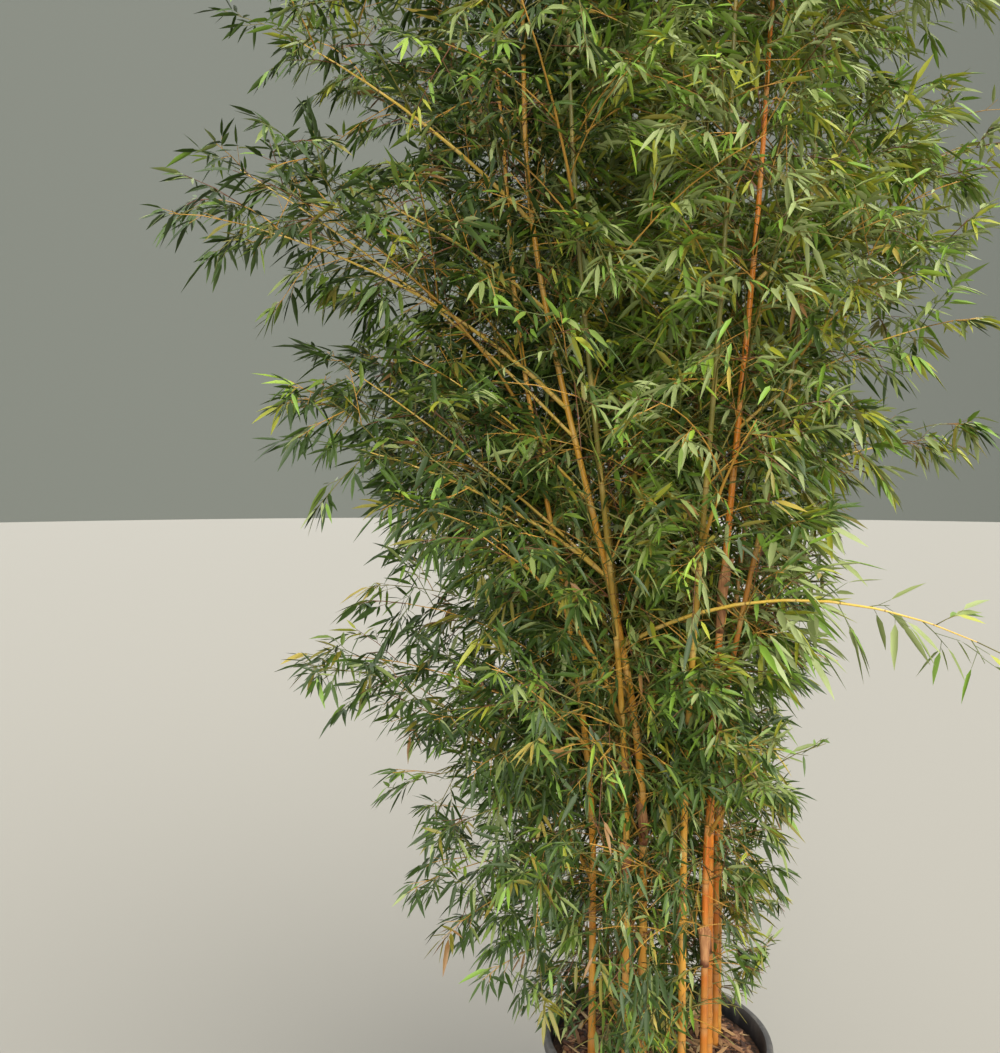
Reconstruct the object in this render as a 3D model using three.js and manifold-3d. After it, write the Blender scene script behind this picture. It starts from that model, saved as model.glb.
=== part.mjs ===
// A potted golden bamboo: a clump of fourteen tapering canes that rise from the bark-topped mix in a round
// black nursery tub, six long arching boughs, and the masses of leafy twigs that make the crown.
//
// Millimetres, +Z up. The origin is the middle of the tub's flat underside, and the side with the six canes
// that stand clear of the leaves faces -Y.

import * as THREE from "three";
import { mergeVertices } from "three/addons/utils/BufferGeometryUtils.js";
import Module from "manifold-3d";

const wasm = await Module();
wasm.setup();

// The tub and what fills it
const TUB_HEIGHT = 380;
const TUB_FOOT_RADIUS = 212;
const TUB_MOUTH_RADIUS = 248;
const TUB_WALL = 5;
const TUB_FLOOR = 6;
const TUB_SIDES = 36;
const FOOT_CHAMFER = 8;
const RIM_OVERHANG = 12;
const RIM_DEPTH = 26;
const RIM_ROLL = 7;
const DRAIN_SLOTS = 6;
const DRAIN_WIDTH = 34;
const DRAIN_HEIGHT = 16;
const DRAIN_REACH = 30;
const MIX_BELOW_RIM = 32;
const MIX_SHOULDER = 14;
const MIX_SHOULDER_WIDTH = 24;

// The canes
const SEAT = 0.3; // clearance between two pieces that meet
const GROUND = TUB_HEIGHT - MIX_BELOW_RIM; // height of the mix that the canes stand on
const CANE_SIDES = 6;
const CANE_STEPS = 8;
const CANE_RADIUS = 9.6;
const CANE_TALLEST = 3594;
const CANE_SHORTEST = 2750;
const CANE_TAPER = 0.82; // share of the radius lost by the tip
const CANE_FLARE = 0.16; // how much wider the foot is than the cane
const CANE_FLARE_HEIGHT = 60;
const BEND_FROM = 0.15; // shares of a cane's height between which it bends
const BEND_TO = 0.62;
const ARCH_POWER = 4;
const NOD = 0.45; // drop of a cane's tip as a share of how far it arches
const WAY_STEP = 0.01; // share of a cane's height over which the way it runs is measured
const PLUME_FROM = 0.8; // share of a cane's height where its bare top enters a plume

// The crown: an egg that the tips reach, and that leans to the left
const CROWN_RADIUS = 880;
const CROWN_MIDDLE = 2350;
const CROWN_HALF_HEIGHT = 1950;
const CROWN_LEAN = 0.17;

// Boughs, and the stems and twigs of the masses
const BOUGH_RADIUS = 5.2;
const BOUGH_SHARE = 0.5; // share of a bough's whole line that is bare limb
const BOUGH_SIDES = 5;
const STEM_SIDES = 4;
const STEM_RADIUS = 5.4;
const STEM_STEPS = 4;
const TIP_RADIUS = 3;
const TWIG_SIDES = 3;
const TWIG_RADIUS = 2.4;
const TWIG_TIP = 2.2;
const TWIGS = 4;
const TWIG_FIRST = 0.22; // shares of a stem between which its twigs leave it
const TWIG_LAST = 0.86;
const TWIG_REACH = 236;
const TWIG_SHORTER = 0.4; // how much shorter a twig at the stem's tip is, as a share
const TWIG_SPREAD = 50; // degrees between a stem and the twigs that leave it
const TWIG_DROOP = 0.15;
const TWIG_VARIES = [0.85, 1.15]; // shares of its rule's length that a twig may have
const SPRAY_VARIES = [0.85, 1];
const TWIG_TESTED = [0.35, 0.6, 0.8, 1]; // shares of a twig that have to keep to the mass's space
const SCATTER = 16; // degrees over which twigs and leaves stray from their rule
const LEAF_LENGTH = 275;
const LEAF_WIDTH = 0.26; // as a share of the leaf's length
const LEAF_THICK = 5;
const LEAF_WIDEST = 0.4; // share of a leaf's length where it is widest
const LEAF_SIZES = [1, 0.75, 0.55]; // a leaf with no room at its full length is tried shorter
const LEAF_TESTED = [0.15, LEAF_WIDEST, 0.7, 1];
const LEAF_ROLL = 108; // degrees over which a leaf is rolled about its rib
const LEAF_SAG = [0.2, 0.95]; // how far a leaf hangs, least and most
const LEAF_SUNK = 7; // how far the root of the last leaf of a spray is sunk into its twig
const SPRAY = [0, 1, -1]; // the leaves of a spray: one straight on and one to either side
const SPRAY_FAN = 42; // degrees between the leaves of a spray
const SPRAY_STEP = 9; // distance along the twig between their roots
const SPRAY_SHORTER = 0.1;
const SPACE_MARGIN = 6; // how much nearer a leaf stays to its own stem than to any other
const LIMB_CLEAR = 5;
const STEM_CLEAR = 14;
const SIDE_MASSES = 18;
const SHORTEST_STEM = 240;
const STEM_CLIMB = 300; // height that a side mass's stem gains, about
const STEM_SHARE = 0.8; // a stem's thickness as a share of its cane's, at most
const LEAF_OUTREACH = 0.8; // how far a leaf at a stem's tip reaches on, as a share of its length
const LOWEST_MASS = 500;
const HIGHEST_MASS = 2640;
const GOLDEN_ANGLE = 137.5;
const FIRST_ANGLE = 262;
const SIDE_RISE_LOW = 70; // degrees by which the stem of the lowest side mass rises from its cane
const SIDE_RISE_HIGH = 52;
const SIDE_TIP_RISE = 22;
const TURN = 9; // degrees by which a side mass is turned until its stem is clear
const TURNS = 20;

// The six canes that stand in view: the place of the foot, the bend in the middle and the arch of the tip,
// each to the right and to the back.
const SEEN_CANES = [
  { foot: [-45, -80], bend: [-255, -20], arch: [-60, -80], height: 3330, radius: 10.2 },
  { foot: [-60, 20], bend: [-115, 10], arch: [80, 40], height: 3150, radius: 8.8 },
  { foot: [105, -60], bend: [70, -30], arch: [150, -60], height: 3400, radius: 10.4 },
  { foot: [-152, -40], bend: [-160, -60], arch: [-190, -90], height: 2950, radius: 8.6 },
  { foot: [135, 0], bend: [110, 40], arch: [130, 60], height: 3050, radius: 7.8 },
  { foot: [85, -112], bend: [150, -90], arch: [110, -130], height: 2880, radius: 8.2 },
];
const BACK_CANES = 6;
const BACK_FIRST = 18; // degrees
const BACK_STEP = 28;
const FRONT_CANES = 2;
const FRONT_FIRST = 236;
const FRONT_STEP = 44;
const OUTER_RING = 160;
const INNER_RING = 88;
const RING_BEND = [0.7, 1.4]; // bend and arch of a cane on a ring as shares of the ring's radius
const RING_ARCH = [1, 1.9];
const RING_THINNER = [0.78, 1];
const TALLEST_CANE = 8;

// The six long boughs that show: cane, height, direction in degrees from +X, rise at the root and at the
// tip in degrees, and length over bough and foliage.
const BOUGHS = [
  { name: "left_low", cane: 0, height: 1440, azimuth: 196, rise: 40, tip: 14, length: 600 },
  { name: "left_high", cane: 0, height: 1800, azimuth: 192, rise: 44, tip: 12, length: 760 },
  { name: "left_top", cane: 0, height: 2190, azimuth: 200, rise: 42, tip: 22, length: 560 },
  { name: "right_arching", cane: 0, height: 1290, azimuth: -26, rise: 34, tip: -24, length: 720 },
  { name: "right_middle", cane: 4, height: 1560, azimuth: 8, rise: 46, tip: 4, length: 420 },
  { name: "right_high", cane: 2, height: 2060, azimuth: -8, rise: 48, tip: 12, length: 440 },
];

const SEED = 4711;

const radians = THREE.MathUtils.degToRad;
const lerp = THREE.MathUtils.lerp;
const vector = (x, y, z) => new THREE.Vector3(x, y, z);
const UP = vector(0, 0, 1);

// A repeatable stream of numbers from 0 to 1.
function seeded(seed) {
  let state = seed >>> 0;
  return () => {
    state = (state + 0x6d2b79f5) >>> 0;
    let mixed = state;
    mixed = Math.imul(mixed ^ (mixed >>> 15), mixed | 1);
    mixed ^= mixed + Math.imul(mixed ^ (mixed >>> 7), mixed | 61);
    return ((mixed ^ (mixed >>> 14)) >>> 0) / 2 ** 32;
  };
}

// Solids from geometry, and back

function solidOf(geometry) {
  const bare = geometry.clone();
  bare.deleteAttribute("normal");
  bare.deleteAttribute("uv");
  const merged = mergeVertices(bare, 1e-3);
  return new wasm.Manifold(
    new wasm.Mesh({
      numProp: 3,
      vertProperties: new Float32Array(merged.attributes.position.array),
      triVerts: new Uint32Array(merged.index.array),
    }),
  );
}

function geometryOf(solid) {
  const { vertProperties, triVerts } = solid.getMesh();
  const geometry = new THREE.BufferGeometry();
  geometry.setAttribute("position", new THREE.BufferAttribute(vertProperties, 3));
  geometry.setIndex(new THREE.BufferAttribute(triVerts, 1));
  geometry.computeVertexNormals();
  return geometry;
}

// The largest piece of a solid, without loose scraps or slivers.
function largestPiece(solid) {
  const pieces = solid.simplify(0.02).decompose();
  return pieces.reduce((best, piece) => (piece.volume() > best.volume() ? piece : best));
}

// Limbs: a line of points, with the way it runs and its radius at each

function directionAt(points, i) {
  const before = points[Math.max(i - 1, 0)];
  const after = points[Math.min(i + 1, points.length - 1)];
  return after.clone().sub(before).normalize();
}

const taperedRadii = (count, from, to) =>
  Array.from({ length: count }, (_, i) => lerp(from, to, i / (count - 1)));

function limbOf(points, radii, side, sides) {
  return { points, radii, side, sides, ways: points.map((_, i) => directionAt(points, i)) };
}

// The closed solid of a limb, whose rings stand square to the way it runs.
function limbSolid(limb) {
  const steps = limb.points.length - 1;
  const geometry = new THREE.CylinderGeometry(1, 1, 1, limb.sides, steps);
  const position = geometry.attributes.position;
  const place = vector();
  for (let i = 0; i < position.count; i++) {
    place.fromBufferAttribute(position, i);
    const ring = Math.round((place.y + 0.5) * steps);
    const way = limb.ways[ring];
    const across = limb.side.clone().addScaledVector(way, -limb.side.dot(way)).normalize();
    const through = across.clone().cross(way);
    const spot = limb.points[ring].clone();
    spot.addScaledVector(across, place.x * limb.radii[ring]);
    spot.addScaledVector(through, place.z * limb.radii[ring]);
    position.setXYZ(i, spot.x, spot.y, spot.z);
  }
  return solidOf(geometry);
}

// How far a point is from a limb's surface.
const segment = new THREE.Line3();
const nearest = vector();
function distanceTo(limb, point) {
  let best = Infinity;
  for (let i = 0; i + 1 < limb.points.length; i++) {
    segment.set(limb.points[i], limb.points[i + 1]);
    segment.closestPointToPoint(point, true, nearest);
    best = Math.min(best, nearest.distanceTo(point) - Math.max(limb.radii[i], limb.radii[i + 1]));
  }
  return best;
}

const clearOf = (places, limbs, gap) =>
  places.every((place) => limbs.every((limb) => distanceTo(limb, place) > gap));

// Canes

function smoothStep(from, to, value) {
  const share = THREE.MathUtils.clamp((value - from) / (to - from), 0, 1);
  return share * share * (3 - 2 * share);
}

function canePoint(cane, share) {
  const bent = smoothStep(BEND_FROM, BEND_TO, share);
  const arched = share ** ARCH_POWER;
  const across = (axis) => cane.foot[axis] + cane.bend[axis] * bent + cane.arch[axis] * arched;
  const nod = NOD * Math.hypot(...cane.arch) * arched * share;
  return vector(across(0), across(1), GROUND + SEAT + cane.height * share - nod);
}

function caneRadius(cane, share) {
  const flare = CANE_FLARE * Math.exp((-share * cane.height) / CANE_FLARE_HEIGHT);
  return cane.radius * (1 - CANE_TAPER * share + flare);
}

// The stretch of a cane between two shares of its height.
function caneLimb(cane, from, to, steps, sides) {
  const shares = Array.from({ length: steps + 1 }, (_, i) => lerp(from, to, i / steps));
  const way = (share) =>
    share ? canePoint(cane, share + WAY_STEP).sub(canePoint(cane, share - WAY_STEP)).normalize() : UP;
  return {
    points: shares.map((share) => canePoint(cane, share)),
    ways: shares.map(way),
    radii: shares.map((share) => caneRadius(cane, share)),
    side: vector(1, 0, 0),
    sides,
  };
}

// The share of a cane's height that stands at a height above the tub's underside.
const shareAt = (cane, height) => (height - GROUND) / cane.height;

// A cane that stands on a ring round the ones in view and leans out from the middle of the clump.
function ringCane(azimuth, ring, next) {
  const away = (length) => [length * Math.cos(radians(azimuth)), length * Math.sin(radians(azimuth))];
  return {
    foot: away(ring),
    bend: away(ring * lerp(...RING_BEND, next())),
    arch: away(ring * lerp(...RING_ARCH, next())),
    height: lerp(CANE_SHORTEST, CANE_TALLEST, next()),
    radius: CANE_RADIUS * lerp(...RING_THINNER, next()),
  };
}

function allCanes() {
  const next = seeded(SEED);
  const canes = SEEN_CANES.map((cane) => ({ ...cane }));
  for (let i = 0; i < BACK_CANES; i++) {
    canes.push(ringCane(BACK_FIRST + BACK_STEP * i, i % 2 ? INNER_RING : OUTER_RING, next));
  }
  for (let i = 0; i < FRONT_CANES; i++) {
    canes.push(ringCane(FRONT_FIRST + FRONT_STEP * i, OUTER_RING, next));
  }
  canes[TALLEST_CANE].height = CANE_TALLEST;
  return canes;
}

// Stems: a line that leaves its root at one rise and arches over to another

const headingOf = (azimuth) => vector(Math.cos(radians(azimuth)), Math.sin(radians(azimuth)), 0);
const sideOf = (azimuth) => vector(-Math.sin(radians(azimuth)), Math.cos(radians(azimuth)), 0);

function archingLine(root, azimuth, rise, tip, length, steps) {
  const heading = headingOf(azimuth);
  const points = [root.clone()];
  for (let i = 0; i < steps; i++) {
    const slope = radians(lerp(rise, tip, (i + 0.5) / steps));
    const step = heading.clone().multiplyScalar(Math.cos(slope)).addScaledVector(UP, Math.sin(slope));
    points.push(points[i].clone().addScaledVector(step, length / steps));
  }
  return points;
}

// How far from the middle the crown reaches at a height, one way.
function crownReach(height, azimuth) {
  const up = (height - CROWN_MIDDLE) / CROWN_HALF_HEIGHT;
  const round = Math.sqrt(Math.max(1 - up * up, 0));
  return CROWN_RADIUS * round * (1 - CROWN_LEAN * Math.cos(radians(azimuth)));
}

// Leaves and twigs

// One leaf blade is a thin lozenge: its root and tip, its two edges, and a rib above and one below.
function leafSolid(leaf) {
  const geometry = new THREE.OctahedronGeometry(1);
  const position = geometry.attributes.position;
  const corner = vector();
  for (let i = 0; i < position.count; i++) {
    corner.fromBufferAttribute(position, i);
    const reach = corner.y < -0.5 ? 0 : corner.y > 0.5 ? 1 : LEAF_WIDEST;
    const spot = leaf.root.clone().addScaledVector(leaf.way, reach * leaf.length);
    spot.addScaledVector(leaf.across, (corner.x * LEAF_WIDTH * leaf.length) / 2);
    spot.addScaledVector(leaf.over, (corner.z * LEAF_THICK) / 2);
    position.setXYZ(i, spot.x, spot.y, spot.z);
  }
  return solidOf(geometry);
}

// The places that say whether a leaf keeps to its own space: points along it and its two edges.
function leafPlaces({ root, way, across, length }) {
  const places = LEAF_TESTED.map((share) => root.clone().addScaledVector(way, share * length));
  for (const half of [-0.5, 0.5]) {
    places.push(places[1].clone().addScaledVector(across, half * LEAF_WIDTH * length));
  }
  return places;
}

// Grows a mass on its stem: twigs leave it by turns, and each twig and the stem itself end in a spray of
// three leaves. A twig or leaf that would leave the mass's own space or touch a limb is skipped.
function growMass(mass, masses, limbs, next) {
  const { stem } = mass;
  const others = masses.filter((other) => other !== mass);
  const keeps = (places) =>
    clearOf(places, limbs, LIMB_CLEAR) &&
    places.every((place) => {
      const own = Math.max(distanceTo(stem, place), 0);
      return others.every((other) => distanceTo(other.stem, place) > own + SPACE_MARGIN);
    });
  const pieces = [limbSolid(stem)];

  const strayed = (degrees, range) => radians(degrees + range * (next() - 0.5));

  const addLeaf = (root, way, length) => {
    const sagged = way.clone().addScaledVector(UP, -lerp(...LEAF_SAG, next())).normalize();
    const across = sagged.clone().cross(UP).normalize();
    across.applyAxisAngle(sagged, strayed(0, LEAF_ROLL));
    const over = across.clone().cross(sagged);
    const sizes = LEAF_SIZES.map((size) => ({ root, way: sagged, across, over, length: size * length }));
    const leaf = sizes.find((size) => keeps(leafPlaces(size)));
    if (!leaf) return;
    pieces.push(leafSolid(leaf));
  };
  const addSpray = (tip, way, length) => {
    SPRAY.forEach((turn, i) => {
      const fan = strayed(SPRAY_FAN * turn, SCATTER);
      const root = tip.clone().addScaledVector(way, -LEAF_SUNK - SPRAY_STEP * i);
      addLeaf(root, way.clone().applyAxisAngle(UP, fan), length * (1 - SPRAY_SHORTER * i));
    });
  };

  for (let i = 0; i < TWIGS; i++) {
    const share = lerp(TWIG_FIRST, TWIG_LAST, i / (TWIGS - 1));
    const ring = Math.floor(share * STEM_STEPS);
    const root = stem.points[ring].clone().lerp(stem.points[ring + 1], share * STEM_STEPS - ring);
    const way = stem.points[ring + 1].clone().sub(stem.points[ring]).normalize();
    const out = stem.side.clone().applyAxisAngle(way, strayed(GOLDEN_ANGLE * i, SCATTER));
    const spread = strayed(TWIG_SPREAD, SCATTER);
    const heading = way.multiplyScalar(Math.cos(spread)).addScaledVector(out, Math.sin(spread));
    heading.addScaledVector(UP, -TWIG_DROOP * next()).normalize();
    const reach = TWIG_REACH * (1 - TWIG_SHORTER * share) * lerp(...TWIG_VARIES, next());
    const tip = root.clone().addScaledVector(heading, reach);
    if (!keeps(TWIG_TESTED.map((part) => root.clone().lerp(tip, part)))) continue;
    const side = heading.clone().cross(UP).normalize();
    pieces.push(limbSolid(limbOf([root, tip], [TWIG_RADIUS, TWIG_TIP], side, TWIG_SIDES)));
    addSpray(tip, heading, LEAF_LENGTH * lerp(...SPRAY_VARIES, next()));
  }
  addSpray(stem.points.at(-1), stem.ways.at(-1), LEAF_LENGTH);
  return wasm.Manifold.union(pieces);
}

// The tub: a tapering wall with a flat floor, drain slots round its foot and a rolled rim that turns down.
function tubSolid() {
  const wallAt = (height) => lerp(TUB_FOOT_RADIUS, TUB_MOUTH_RADIUS, height / TUB_HEIGHT);
  const lip = TUB_MOUTH_RADIUS + RIM_OVERHANG;
  const profile = [
    [0, 0],
    [TUB_FOOT_RADIUS - FOOT_CHAMFER, 0],
    [TUB_FOOT_RADIUS, FOOT_CHAMFER],
    [wallAt(TUB_HEIGHT - RIM_DEPTH), TUB_HEIGHT - RIM_DEPTH],
    [lip, TUB_HEIGHT - RIM_DEPTH],
    [lip, TUB_HEIGHT - RIM_ROLL],
    [lip - RIM_ROLL, TUB_HEIGHT],
    [TUB_MOUTH_RADIUS, TUB_HEIGHT],
    [TUB_MOUTH_RADIUS - TUB_WALL, TUB_HEIGHT - RIM_ROLL],
    [TUB_FOOT_RADIUS - TUB_WALL, TUB_FLOOR],
    [0, TUB_FLOOR],
  ].map(([radius, height]) => new THREE.Vector2(radius, height));
  let tub = solidOf(new THREE.LatheGeometry(profile, TUB_SIDES).rotateX(Math.PI / 2));
  for (let i = 0; i < DRAIN_SLOTS; i++) {
    const slot = new THREE.BoxGeometry(DRAIN_REACH, DRAIN_WIDTH, DRAIN_HEIGHT);
    slot.translate(TUB_FOOT_RADIUS, 0, TUB_FLOOR + FOOT_CHAMFER + DRAIN_HEIGHT / 2);
    slot.rotateZ((2 * Math.PI * (i + 0.5)) / DRAIN_SLOTS);
    tub = tub.subtract(solidOf(slot));
  }
  return tub;
}

// The mix fills the tub to just under the rim. It is flat where the canes stand and dips at the wall.
function mixSolid() {
  const wallInside = (height) =>
    lerp(TUB_FOOT_RADIUS, TUB_MOUTH_RADIUS, (height - TUB_FLOOR) / (TUB_HEIGHT - RIM_ROLL - TUB_FLOOR)) -
    TUB_WALL -
    SEAT;
  const floor = TUB_FLOOR + SEAT;
  const edge = GROUND - MIX_SHOULDER;
  const profile = [
    [0, floor],
    [wallInside(floor), floor],
    [wallInside(edge), edge],
    [wallInside(edge) - MIX_SHOULDER_WIDTH, GROUND],
    [0, GROUND],
  ].map(([radius, height]) => new THREE.Vector2(radius, height));
  return solidOf(new THREE.LatheGeometry(profile, TUB_SIDES).rotateX(Math.PI / 2));
}

// Finishes
const finish = (color, roughness) => new THREE.MeshStandardMaterial({ color, roughness, metalness: 0 });
const TUB_FINISH = finish(0x23242a, 0.55);
const MIX_FINISH = finish(0x4a3527, 0.95);
const CANE_FINISH = finish(0xc27a1e, 0.42);
const BOUGH_FINISH = finish(0xa88332, 0.5);
const FOLIAGE_FINISH = finish(0x4c6b2c, 0.6);

// Assembly
const plant = new THREE.Group();
plant.name = "potted_bamboo";
const add = (name, solid, material) => {
  const mesh = new THREE.Mesh(geometryOf(solid), material);
  mesh.name = name;
  plant.add(mesh);
};
const numbered = (stem, i) => `${stem}_${String(i + 1).padStart(2, "0")}`;

const canes = allCanes();
const caneLimbs = canes.map((cane) => caneLimb(cane, 0, PLUME_FROM, CANE_STEPS, CANE_SIDES));
const caneRooms = caneLimbs.map((limb) =>
  limbSolid({ ...limb, radii: limb.radii.map((radius) => radius + SEAT / Math.cos(Math.PI / CANE_SIDES)) }),
);

// A plume goes on from the top of each cane, a seat's clearance above it.
const plumes = canes.map((cane, i) => {
  const stem = caneLimb(cane, PLUME_FROM, 1, STEM_STEPS, STEM_SIDES);
  stem.points[0].addScaledVector(stem.ways[0], SEAT);
  stem.radii = taperedRadii(STEM_STEPS + 1, caneRadius(cane, PLUME_FROM), TIP_RADIUS);
  return { name: numbered("foliage_top", i), stem };
});

// The boughs, and the masses that their tips carry
const boughs = BOUGHS.map((bough) => {
  const cane = canes[bough.cane];
  const root = canePoint(cane, shareAt(cane, bough.height));
  const line = archingLine(root, bough.azimuth, bough.rise, bough.tip, bough.length, 2 * STEM_STEPS);
  const radii = taperedRadii(line.length, BOUGH_RADIUS, TIP_RADIUS);
  const whole = limbOf(line, radii, sideOf(bough.azimuth), BOUGH_SIDES);
  const bare = Math.round(line.length * BOUGH_SHARE);
  const part = (from, to) => ({
    points: line.slice(from, to).map((point) => point.clone()),
    ways: whole.ways.slice(from, to),
    radii: radii.slice(from, to),
    side: whole.side,
  });
  const limb = { ...part(0, bare), sides: BOUGH_SIDES };
  const stem = { ...part(bare - 1), sides: STEM_SIDES };
  stem.points[0].addScaledVector(stem.ways[0], SEAT);
  return { name: bough.name, cane: bough.cane, limb, stem };
});
const boughMasses = boughs.map(({ name, stem }) => ({ name: `foliage_${name}`, stem }));

// Side masses climb the clump by the golden angle, each on the cane that stands furthest out its way. One
// whose stem would touch a limb or another stem is turned until it is clear.
const stemsOf = (grown) => grown.map(({ stem }) => stem);
const sideMasses = [];
for (let i = 0; i < SIDE_MASSES; i++) {
  const share = i / (SIDE_MASSES - 1);
  const height = lerp(LOWEST_MASS, HIGHEST_MASS, share);
  const rise = lerp(SIDE_RISE_LOW, SIDE_RISE_HIGH, share);
  const slope = radians((rise + SIDE_TIP_RISE) / 2);
  const roots = canes.map((cane) => canePoint(cane, shareAt(cane, height)));
  const taken = [...boughs.map(({ limb }) => limb), ...stemsOf([...boughMasses, ...plumes, ...sideMasses])];
  for (let turn = 0; turn < TURNS; turn++) {
    const azimuth = FIRST_ANGLE + GOLDEN_ANGLE * i + (turn % 2 ? TURN : -TURN) * turn;
    const reaches = roots.map((root) => root.dot(headingOf(azimuth)));
    const reached = Math.max(...reaches);
    const chosen = reaches.indexOf(reached);
    const room = crownReach(height + STEM_CLIMB, azimuth) - reached - LEAF_OUTREACH * LEAF_LENGTH;
    const length = Math.max(room / Math.cos(slope), SHORTEST_STEM);
    const points = archingLine(roots[chosen], azimuth, rise, SIDE_TIP_RISE, length, STEM_STEPS);
    const middles = points.slice(1).map((point, j) => points[j].clone().lerp(point, 0.5));
    const others = caneLimbs.filter((_, j) => j !== chosen);
    if (!clearOf([...points, ...middles], [...others, ...taken], STEM_CLEAR)) continue;
    const caneThere = caneRadius(canes[chosen], shareAt(canes[chosen], height));
    const thick = Math.min(STEM_RADIUS, STEM_SHARE * caneThere);
    const radii = taperedRadii(STEM_STEPS + 1, thick, TIP_RADIUS);
    const stem = limbOf(points, radii, sideOf(azimuth), STEM_SIDES);
    sideMasses.push({ name: numbered("foliage_side", i), stem, cane: chosen });
    break;
  }
}

const masses = [...plumes, ...boughMasses, ...sideMasses];
const limbs = [...caneLimbs, ...boughs.map(({ limb }) => limb)];

add("tub", tubSolid(), TUB_FINISH);
add("potting_mix", mixSolid(), MIX_FINISH);
caneLimbs.forEach((limb, i) => add(numbered("cane", i), limbSolid(limb), CANE_FINISH));
for (const { name, cane, limb } of boughs) {
  add(`bough_${name}`, limbSolid(limb).subtract(caneRooms[cane]), BOUGH_FINISH);
}
masses.forEach((mass, i) => {
  let solid = growMass(mass, masses, limbs, seeded(SEED + 100 + i));
  if (mass.cane !== undefined) solid = solid.subtract(caneRooms[mass.cane]);
  add(mass.name, largestPiece(solid), FOLIAGE_FINISH);
});

export default plant;
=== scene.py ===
# %% [markdown]
# # A potted golden bamboo
# A clump of fourteen golden canes stands in a round black nursery tub. Twigs and leaves fill a crown that is
# four metres tall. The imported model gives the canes, the boughs, the tub and the reach of the crown. This
# file grows the same plant again from the same rule and carries it on to real twigs and real leaves.

import math

import bmesh
import bpy
import numpy as np
from mathutils import Matrix, Vector


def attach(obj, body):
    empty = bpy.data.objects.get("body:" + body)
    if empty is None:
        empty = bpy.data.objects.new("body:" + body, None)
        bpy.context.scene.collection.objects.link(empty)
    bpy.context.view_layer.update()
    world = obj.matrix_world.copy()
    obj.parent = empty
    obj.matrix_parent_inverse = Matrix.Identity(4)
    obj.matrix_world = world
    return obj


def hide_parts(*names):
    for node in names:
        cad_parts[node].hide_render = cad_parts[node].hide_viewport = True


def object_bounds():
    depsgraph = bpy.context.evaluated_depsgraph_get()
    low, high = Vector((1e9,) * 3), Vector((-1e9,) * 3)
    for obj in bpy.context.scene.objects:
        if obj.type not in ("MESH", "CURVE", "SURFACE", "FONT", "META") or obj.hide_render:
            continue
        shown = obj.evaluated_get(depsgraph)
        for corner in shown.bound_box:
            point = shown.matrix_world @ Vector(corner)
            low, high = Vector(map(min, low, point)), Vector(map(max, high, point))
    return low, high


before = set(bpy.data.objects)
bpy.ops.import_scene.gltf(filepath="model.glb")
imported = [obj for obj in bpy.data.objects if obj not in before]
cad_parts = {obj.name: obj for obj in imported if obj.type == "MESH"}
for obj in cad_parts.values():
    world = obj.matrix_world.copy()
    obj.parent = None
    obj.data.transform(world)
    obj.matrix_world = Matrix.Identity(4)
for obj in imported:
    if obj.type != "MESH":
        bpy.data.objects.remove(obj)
cad_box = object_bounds()
print("the packed model has", len(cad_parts), "solids")

# %% [markdown]
# ## Camera, floor and light
# The picture was taken at eye level, two metres from the clump, with a fairly wide lens that looks down a
# little. The camera's numbers come from the row of tubs, which shrink evenly to the horizon. The light is
# that of a bright, cloudy day. A sun whose disc is spread very wide casts shadows without edges and lights
# the floor evenly out to the horizon, which a lamp nearby can't, and a pale sky fills the shadows. A plain
# grey wall stands far off all round, as small gaps in a crown of leaves would glare against a bright one. It
# lets all light through and is only there to be seen.

# %% The camera
PICTURE_WIDE = 1000
PICTURE_HIGH = 1053
FOCAL_PIXELS = 950
SENSOR_MM = 36
EYE = Vector((-0.36, -2.13, 1.65))
LOOKS_DOWN = math.radians(2.8)


def new_object(name, data):
    made = bpy.data.objects.new(name, data)
    bpy.context.collection.objects.link(made)
    return made


eye = bpy.data.cameras.new("eye")
eye.sensor_width = SENSOR_MM
eye.lens = FOCAL_PIXELS / PICTURE_HIGH * SENSOR_MM
camera = new_object("camera", eye)
camera.location = EYE
camera.rotation_euler = (math.pi / 2 - LOOKS_DOWN, 0, 0)
bpy.context.scene.camera = camera
print("lens", round(eye.lens, 2), "mm")


# %% The floor and the lights
def mesh_from(name, bm):
    mesh = bpy.data.meshes.new(name)
    bm.to_mesh(mesh)
    bm.free()
    return mesh


def smoothed(mesh):
    mesh.polygons.foreach_set("use_smooth", [True] * len(mesh.polygons))
    return mesh


def rows(keys, *values):
    """A table: one dictionary for each row of values, all with the same keys."""
    return [dict(zip(keys.split(), row)) for row in values]


FLOOR_HALF = 60
SUNS = rows(
    "name from wide power tint",
    ("broad_key", (0.7, -0.8, 1.5), 70, 3.9, (1.0, 0.97, 0.9)),
    ("front_fill", (-0.1, -1.0, 0.3), 40, 1.9, (1.0, 0.98, 0.94)),
    ("back_fill", (-0.6, 0.9, 0.9), 100, 1.2, (0.92, 0.96, 1.0)),
)
SKY = (0.84, 0.85, 0.82, 1)
SKY_STRENGTH = 1.0
WALL_AWAY = 40
WALL_HIGH = 70
WALL_SIDES = 96

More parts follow.
